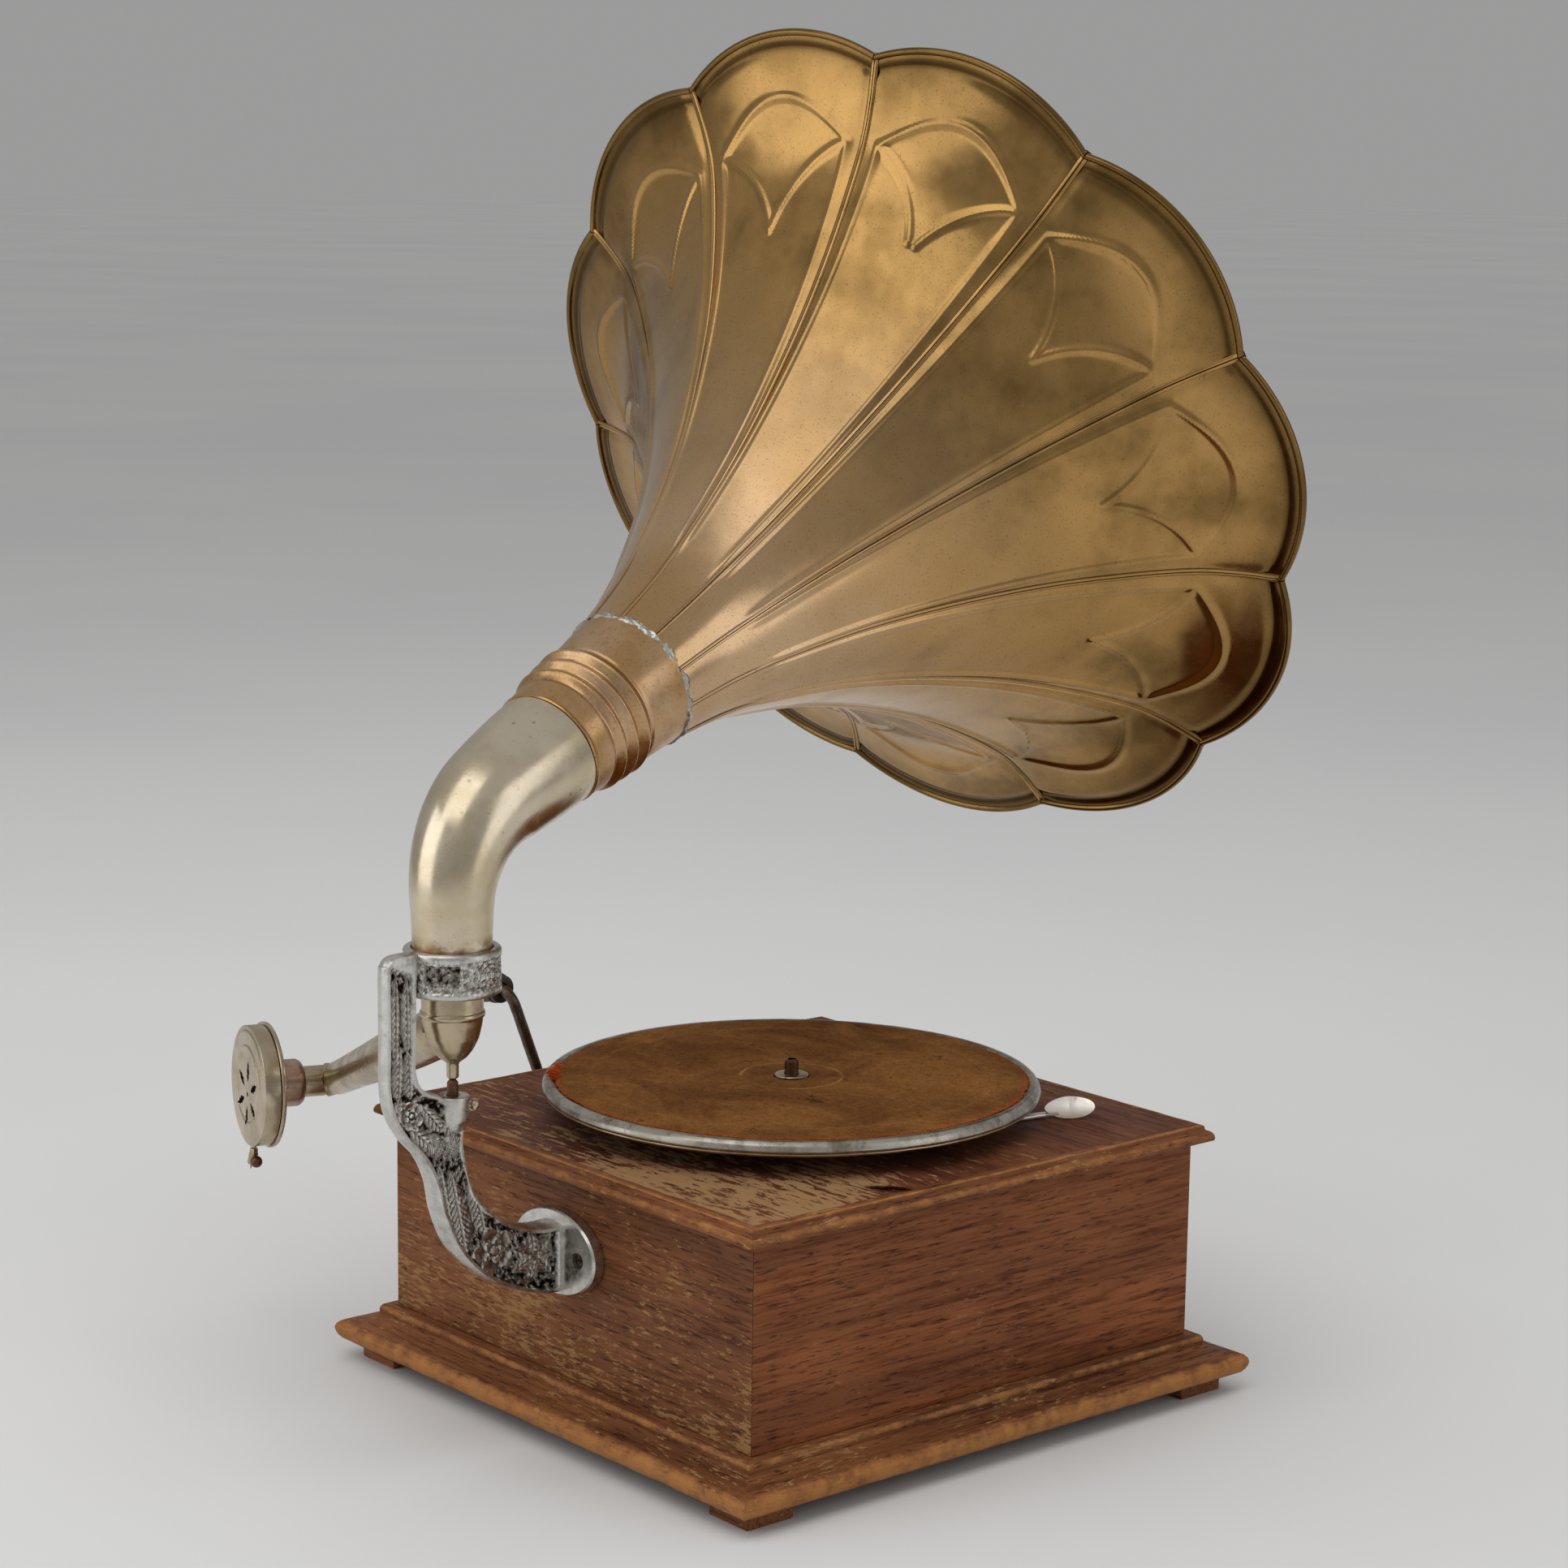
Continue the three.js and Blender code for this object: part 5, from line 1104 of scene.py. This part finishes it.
def turntable():
    low, top, bore = PLATTER_LOW, PLATTER_TOP, SPINDLE_R + 0.3
    outline = [(bore, low + 2.1), (20, low + 4.4), (118.6, low + 4.4), (122.4, low + 1.2), (123, low), (125, low),
               (126, low + 1.1), (125.7, low + 1.8), (PLATTER_R, low + 2.8), (PLATTER_R, low + 4), (126.4, low + 6),
               (124.6, top - 0.2), (122.6, top), (121.2, top - 0.6), (121, top - 1.2), (bore, top - 1.2)]
    piece("platter_disc", roughened(turned(softened(outline, 0.7, 4), 300), 0.08, 14), RIM, "turntable",
          "platter")
    felt()
    washer = np.array([(bore, 0.05), (8.2, 0.05), (8.8, 0.4), (8.2, 1.1), (5, 1.4), (bore, 1.2)]) + [0, FELT_TOP]
    piece("felt_washer", turned(softened(washer, 0.25), 72), NICKEL, "turntable", "spindle_washer")
    high = SPINDLE_TOP
    top = softened([(0, 120), (SPINDLE_R, 120), (SPINDLE_R, high - 6.2), (3.3, high - 5.8), (3.3, high - 5),
                    (SPINDLE_R, high - 4.5), (SPINDLE_R, high - 1), (SPINDLE_R - 1, high), (0, high)], 0.4)
    piece("spindle_tip", turned(top, 48), BROWN_STEEL, "turntable")


def felt():
    """The felt disc with an uneven frayed edge, and its loose threads."""
    angle = np.linspace(0, 2 * math.pi, 300, endpoint=False)
    radius = np.concatenate([np.linspace(9.2, FELT_R - 4, 60), FELT_R - np.array([2.5, 1.2, 0.5, 0.1, 0, 0.1])])
    drop = np.concatenate([np.zeros(60), [0, 0.05, 0.2, 0.5, 0.8, 1.2]])
    grid = np.zeros((300, 66, 3))
    for i, a in enumerate(angle):
        fray = 0.9 * noise.fractal(Vector((7 * math.cos(a), 7 * math.sin(a), 2)), 0.6, 2.3, 4)
        for j, (r, d) in enumerate(zip(radius, drop)):
            out = r + fray * smooth(r, FELT_R - 12, FELT_R)
            x, y = out * math.cos(a), out * math.sin(a)
            lift = 0.16 * noise.fractal(Vector((x / 9, y / 9, 5)), 0.8, 2.2, 3)
            grid[i, j] = x, y, FELT_TOP - 0.16 + min(lift, 0.16) - d
    piece("felt_disc", surface(grid, True, False), FELT, "turntable", "felt", crease=80)
    threads = []
    for k in range(420):
        side_tuft = k < 150
        a = math.radians(random.normal(50, 5) if side_tuft else random.uniform(62, 238))
        length = random.uniform(2, 7) if side_tuft else random.uniform(0.8, 2.6)
        root = FELT_R + random.uniform(-2.2, 0.4)
        way = a + random.normal(0, 0.9)
        curl = random.normal(0, 0.6 if side_tuft else 0.3)
        points = []
        p = np.array([root * math.cos(a), root * math.sin(a), FELT_TOP - 0.35])
        rise = random.uniform(0.15, 0.7) if side_tuft else random.uniform(0.0, 0.35)
        for step in range(6):
            points.append(p.copy())
            p = p + length / 5 * unit([math.cos(way), math.sin(way), rise])
            way += curl
            rise -= 0.16
        threads.append(rod(points, 0.16 if side_tuft else 0.13, 5))
    piece("felt_threads", joined(*threads), THREAD, "turntable", crease=80)


turntable()

# ---------------------------------------------------------------- case


def side_loop(out, z, count=40):
    """Points round the case at an overhang and a height, with even steps along each side."""
    x, y = CASE_X + out, CASE_Y + out
    corners = [(-x, -y), (x, -y), (x, y), (-x, y)]
    loop = []
    for (ax, ay), (bx, by) in zip(corners, corners[1:] + corners[:1]):
        for f in np.arange(count) / count:
            loop.append((ax + (bx - ax) * f, ay + (by - ay) * f, z))
    return loop


def moulding(name, profile, wear, materials, replaces, fill=None):
    """A moulding round the case from (overhang, z) pairs, mitred at its corners and worn on its edges."""
    count = 64
    grid = np.array([side_loop(out, z, count) for out, z in profile])
    for row in grid:
        for p in row:
            p += 0.22 * np.array(noise.noise_vector(Vector(p / 11)))
    part = surface(grid, fill is None, True)
    values = np.repeat(np.asarray(wear, float), 4 * count)
    made = piece(name, part, materials[0], "case", replaces, {"edge": values}, 50)
    made.data.materials.append(materials[1])
    for face in made.data.polygons:
        centre = (np.array(face.center) - ORIGIN) / MM
        face.material_index = int(abs(centre[0]) / CASE_X > abs(centre[1]) / CASE_Y)
    return made


def board(name, start, end, material, replaces, holes=()):
    """A side of the case between two outside corners, with mitred ends and rounded edges."""
    start, end = np.array(start, float), np.array(end, float)
    way = unit(end - start)
    inward = np.array([-way[1], way[0]])
    section = [(0, WALL_LOW), (0, WALL_HIGH), (BOARD, WALL_HIGH), (BOARD, WALL_LOW)]
    rows = []
    for out, z in softened(np.add(section, [1, 0]), 0.4):
        shift = inward * (out - 1)
        mitre = way * (out - 1 + MITRE_GAP)
        rows.append([(*(start + shift + mitre), z), (*(end + shift - mitre), z)])
    grid = np.array(rows)
    ends = [(grid[:, k], [list(range(len(grid)))]) for k in (0, 1)]
    made = piece(name, joined(surface(grid, True, False), *ends), material, "case", replaces,
                 {"edge": 0.0}, 30)
    if holes:
        carve(made, *holes)


def lid():
    """The lid's flat top inside its moulded edge, with a lifted flake of veneer."""
    outline = np.array([(3.1, LID_TOP), (3.9, 139.25), (4.5, 138.8), (4.75, 138.1), (4.8, 137.2), (5.3, 136.6), (6.2, 136.35),
                        (7.2, 135.8), (8.05, 134.9), (8.5, 133.8), (8.7, 132.6), (8.4, 131.5), (7.6, LID_LOW),
                        (-3, LID_LOW), (-3, LID_TOP - 0.3), (-1.2, LID_TOP - 0.25), (-0.9, LID_TOP)])
    wear = np.array([0.62, 0.75, 0.6, 0.2, 0.0, 0.1, 0.45, 0.62, 0.66, 0.62, 0.5, 0.3, 0.1, 0, 0, 0.1, 0.3])
    moulding("lid_edge", outline, wear, (MOULD_X, MOULD_Y), "case_lid")
    low = (-CASE_X + 0.6, -CASE_Y + 0.6, LID_LOW)
    high = (CASE_X - 0.6, CASE_Y - 0.6, LID_TOP)
    made = piece("lid_board", block(low, high, 0.3), LID_WOOD, "case", (), {"edge": 0.0}, 30)
    holes = [turned([(0, 120), (6, 120), (6, 150), (0, 150)], 40)]
    for x, y, r in ((-32, 58, 2.2), (78, 58, 2.2), (20, -38, 2.2), (-80, -44, 3)):
        holes.append(placed(turned([(0, 120), (r, 120), (r, 150), (0, 150)], 32), (x, y, 0), UP))
    carve(made, *holes)
    flake()


def flake():
    """A chip of veneer that curls up from the lid, over a dark gap."""
    root_a, root_b = np.array([-126.6, 62.3]), np.array([-144.0, 46.6])
    tip = np.array([-141.2, 60.2])
    rows = []
    for u in np.linspace(0, 1, 24):
        base = root_a * (1 - u) + root_b * u
        reach = np.sin(math.pi * u) ** 0.8 * 0.85
        row = []
        for v in np.linspace(0, 1, 10):
            flat = base + (tip - (root_a + root_b) / 2) * reach * v * 0.7
            row.append((*flat, LID_TOP + 0.12 + 2.3 * reach * v**1.7))
        rows.append(row)
    grid = np.array(rows)
    lifted = grid + np.array([0, 0, 0.45])
    part = joined(surface(grid), surface(lifted))
    piece("veneer_flake", part, LID_WOOD, "case", (), {"edge": 0.0}, 60)


def base():
    outline = np.array([(16.5, BASE_LOW), (19, 8.45), (20.9, 9.4), (22.4, 11.2), (23.3, 13.2), (23.7, 15.2), (23.2, 17.1),
                        (21.6, 18.9), (19.2, 19.9), (15.6, 20.5), (12.4, 21), (10.2, 21.7), (8.6, 22.4), (7.4, 23),
                        (6.6, 23.5), (6.75, 24.4), (6.9, 25.8), (6.6, 27.4), (5.9, 28.4), (5.4, BASE_TOP),
                        (BASE_HOLE - CASE_X, BASE_TOP), (BASE_HOLE - CASE_X, BASE_LOW)])
    wear = np.array([0.3, 0.5, 0.66, 0.75, 0.75, 0.75, 0.72, 0.66, 0.5, 0.25, 0.05, 0, 0, 0, 0, 0.2, 0.6, 0.7, 0.6, 0.3,
                     0, 0])
    moulding("base_edge", outline, wear, (MOULD_X, MOULD_Y), "base_moulding")


def case():
    x, y = CASE_X, CASE_Y
    screw_holes = [placed(turned([(0, -16), (2.3, -16), (2.3, 2), (0, 2)], 32), (at, y, FLANGE_Z), (0, 1, 0))
                   for at in (-FLANGE_SCREW_X, FLANGE_SCREW_X)]
    board("back_board", (x, y), (-x, y), BACK_WOOD, "case_back", screw_holes)
    board("front_board", (-x, -y), (x, -y), FRONT_WOOD, "case_front")
    board("left_board", (-x, y), (-x, -y), SIDE_WOOD, "case_left")
    crank_hole = placed(turned([(0, -12), (5, -12), (5, 2), (0, 2)], 40), (x, CRANK_Y, CRANK_Z), (1, 0, 0))
    board("right_board", (x, -y), (x, y), SIDE_WOOD, "case_right", [crank_hole])
    lid()
    base()
    for name in ("back_left", "back_right", "front_left", "front_right"):
        low, high = span("foot_" + name)
        foot = roughened(block(low, high, 0.8), 0.15, 9)
        piece("pad_" + name, foot, PLAIN_WOOD, "case", "foot_" + name)


case()

# ---------------------------------------------------------------- speed lever


def lever():
    pivot, bend, pad = np.array([-80.0, -44]), np.array([-88.4, -94]), np.array([-96.5, -104.1])
    level = 141.2
    track = rounded([(*pivot, level), (*bend, level), (*(bend + (pad - bend) * 0.55), level + 0.6)], 4, 8)
    track = evenly(track, 40)
    rows = []
    for p, way in zip(track, np.gradient(track, axis=0)):
        square = unit(np.cross(UP, way))
        loop = [(-2.4, -0.7), (2.4, -0.7), (2.6, 0), (2.4, 0.7), (-2.4, 0.7), (-2.6, 0)]
        rows.append([p + u * square + v * UP for u, v in loop])
    strip = np.array(rows)
    ends = [np.repeat(row.mean(0)[None], 6, 0) for row in (strip[0], strip[-1])]
    strip = surface(np.concatenate([ends[:1], strip, ends[1:]]), False, True)
    way = unit([*(pad - bend), 0])
    far = np.cross(UP, way)
    tilt = math.radians(45)
    far = math.cos(tilt) * far * np.sign(far[0]) + math.sin(tilt) * UP
    face = unit(np.cross(way, far))
    face = face * np.sign(face[2])
    centre = np.array([*pad, 145])
    dish = []
    for r in np.linspace(0, 1, 14):
        ring = []
        for a in np.linspace(0, 2 * math.pi, 64, endpoint=False):
            u, v = r * math.cos(a), r * math.sin(a)
            narrow = 1 - 0.22 * max(-u, 0) ** 2
            lift = 1.3 * u * u * (u > 0) - 0.9 * (1 - r * r) - 1.4 * max(-u, 0)
            ring.append(centre + 12.7 * u * way + 6.5 * narrow * v * far + lift * face)
        dish.append(ring)
    top = np.array(dish)
    pad_part = surface(np.concatenate([top, top[::-1] - 1.1 * face]), False, True)
    hub = placed(turned(softened([(0, 140.4), (5, 140.4), (5, 142.4), (2.7, 142.4), (2.7, 144), (0, 144)], 0.4), 48),
                 (*pivot, 0), UP)
    shaft = placed(turned([(0, 118), (2.7, 118), (2.7, 141), (0, 141)], 32), (*pivot, 0), UP)
    piece("thumb_lever", joined(strip, pad_part, hub, shaft), LEVER_NICKEL, "speed_lever", "speed_lever")


lever()

# ---------------------------------------------------------------- crank


def crank():
    corners = [(66, CRANK_Y, CRANK_Z), (CRANK_ARM_X, CRANK_Y, CRANK_Z), CRANK_TOP, CRANK_TOP + [56, 0, 0]]
    path = evenly(rounded(corners, 9, 14), 220)
    piece("crank_arm", roughened(rod(path, 3, 36), 0.1, 5), RUSTY, "crank")
    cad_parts["crank_rod"].data.materials.clear()
    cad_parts["crank_rod"].data.materials.append(MOTOR_STEEL)
    grip = [(3.4, 10), (7.5, 10), (8.5, 12), (8, 15), (9.4, 20.5), (10.6, 26), (11.1, 31), (11, 35), (10.3, 40.5),
            (9.4, 45), (8.6, 49), (7.4, 51), (3.4, 51)]
    piece("crank_grip", placed(turned(softened(grip, 1.0, 3), 72), CRANK_TOP, (1, 0, 0)), HANDLE_WOOD, "crank_handle",
          "crank_handle")
    ferrule = softened([(3.4, 7.4), (7.6, 7.4), (7.6, 9.7), (3.4, 9.7)], 0.4)
    piece("crank_washer", placed(turned(ferrule, 64), CRANK_TOP, (1, 0, 0)), RUSTY, "crank", "crank_ferrule")
    plate = softened([(3.5, 0), (12, 0), (12, 1.2), (7, 2.6), (3.5, 2.6)], 0.4)
    piece("crank_plate", placed(turned(plate, 72), (CASE_X + 0.3, CRANK_Y, CRANK_Z), (1, 0, 0)), NICKEL, "case",
          "crank_escutcheon")


crank()

# ---------------------------------------------------------------- motor and other carried-over nodes
CARRIED = {
    "motor_frame": MOTOR_STEEL, "spring_barrel": BRASS, "mainspring": MOTOR_STEEL, "winding_arbor": MOTOR_STEEL,
    "centre_arbor": MOTOR_STEEL, "governor_shaft": MOTOR_STEEL, "governor_weight_1": BRASS,
    "governor_weight_2": BRASS, "governor_weight_3": BRASS, "brake_arm": RUSTY, "bottom_board": PLAIN_WOOD,
    "spindle": BROWN_STEEL,
}
for name, material in CARRIED.items():
    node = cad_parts[name]
    node.data.materials.clear()
    node.data.materials.append(material)

# ---------------------------------------------------------------- floor, lights and camera
CAMERA_AT = Vector((-1.42913, 1.17044, 0.61993))
CAMERA_WAY = Vector((0.74822, -0.63865, -0.17972))
CAMERA_UP = Vector((0.14541, -0.10644, 0.98363))


def stage():
    mesh = bpy.data.meshes.new("floor")
    half = 40
    mesh.from_pydata([(-half, -half, 0), (half, -half, 0), (half, half, 0), (-half, half, 0)], [], [(0, 1, 2, 3)])
    mesh.materials.append(floor_paper())
    floor = bpy.data.objects.new("floor", mesh)
    bpy.context.scene.collection.objects.link(floor)


LEVEL = Vector((CAMERA_WAY.x, CAMERA_WAY.y, 0)).normalized()
RIGHT = Vector((LEVEL.y, -LEVEL.x, 0))


def studio_point(azimuth, radius, height):
    """A point round the object: azimuth in degrees from the camera's side, positive to its right."""
    turn = math.radians(azimuth)
    return radius * (math.sin(turn) * RIGHT - math.cos(turn) * LEVEL) + Vector((0, 0, height))


def softbox(name, at, size, radiance, reflected=True):
    """A rectangular lamp aimed at the object; reflected is whether gloss shows it."""
    data = bpy.data.lights.new(name, "AREA")
    data.shape = "RECTANGLE"
    data.size, data.size_y = size
    data.energy = radiance * math.pi * size[0] * size[1]
    lamp = bpy.data.objects.new(name, data)
    lamp.location = at
    lamp.rotation_mode = "QUATERNION"
    lamp.rotation_quaternion = (Vector((0, 0, 0.3)) - at).to_track_quat("-Z", "Y")
    lamp.visible_camera = False
    lamp.visible_glossy = reflected
    bpy.context.scene.collection.objects.link(lamp)


def dark_room():
    """The unlit room behind the camera, seen only in reflections: its floor and its wall."""
    rows = []
    for radius, height in ((0.8, 0.004), (1.5, 0.004), (2.3, 0.004), (2.3, 0.5), (2.3, 1.15)):
        rows.append([tuple(studio_point(a, radius, height)) for a in np.linspace(-34, 40, 25)])
    points, faces = surface(rows)
    mesh = bpy.data.meshes.new("dark_room")
    mesh.from_pydata(points.tolist(), [], faces.tolist())
    look = Look("dark_cloth", specular_ior_level=0.0)
    colour = look.mix(look.between(look.cloud(3, 3), 0.3, 0.7), "#221f1c", "#3a3530")
    mesh.materials.append(look.done(colour, look.between(look.cloud(50, 2), 0.3, 0.7, 0.9, 1.0)))
    room = bpy.data.objects.new("dark_room", mesh)
    room.visible_camera = room.visible_diffuse = room.visible_shadow = room.visible_transmission = False
    bpy.context.scene.collection.objects.link(room)


def lights():
    """Softboxes to the left, right and front above, a broad plain light overhead and an even sky."""
    softbox("left_box", studio_point(-70, 1.9, 0.75), (1.5, 1.4), 1.15)
    softbox("right_box", studio_point(60, 1.9, 0.7), (1.0, 1.5), 0.8)
    softbox("front_box", studio_point(-38, 1.25, 1.9), (1.7, 1.3), 1.05)
    softbox("overhead", Vector((0, 0, 2.5)), (2.6, 2.6), 1.1, reflected=False)
    world = bpy.data.worlds.new("studio")
    bpy.context.scene.world = world
    world.use_nodes = True
    tree = world.node_tree
    sky = tree.nodes["Background"]
    way = tree.nodes.new("ShaderNodeTexCoord").outputs["Generated"]
    split = tree.nodes.new("ShaderNodeSeparateXYZ")
    tree.links.new(way, split.inputs[0])
    height = tree.nodes.new("ShaderNodeMapRange")
    tree.links.new(split.outputs["Z"], height.inputs["Value"])
    height.inputs["From Min"].default_value = 0.1
    height.inputs["From Max"].default_value = 0.7
    rise = tree.nodes.new("ShaderNodeMix")
    rise.data_type = "RGBA"
    rise.inputs[6].default_value = (0.329, 0.328, 0.327, 1)
    rise.inputs[7].default_value = (0.45, 0.45, 0.45, 1)
    tree.links.new(height.outputs["Result"], rise.inputs[0])
    tree.links.new(rise.outputs[2], sky.inputs["Color"])
    bpy.context.scene.view_settings.view_transform = "Standard"


def camera():
    data = bpy.data.cameras.new("camera")
    data.sensor_width = 36
    data.lens = 82.95
    data.shift_y = 0.0197  # the photograph is framed a little below the lens's axis
    made = bpy.data.objects.new("camera", data)
    across = CAMERA_WAY.cross(CAMERA_UP).normalized()
    turn = Matrix((across, across.cross(CAMERA_WAY), -CAMERA_WAY)).transposed()
    made.matrix_world = Matrix.Translation(CAMERA_AT) @ turn.to_4x4()
    bpy.context.scene.collection.objects.link(made)
    bpy.context.scene.camera = made


stage()
lights()
camera()
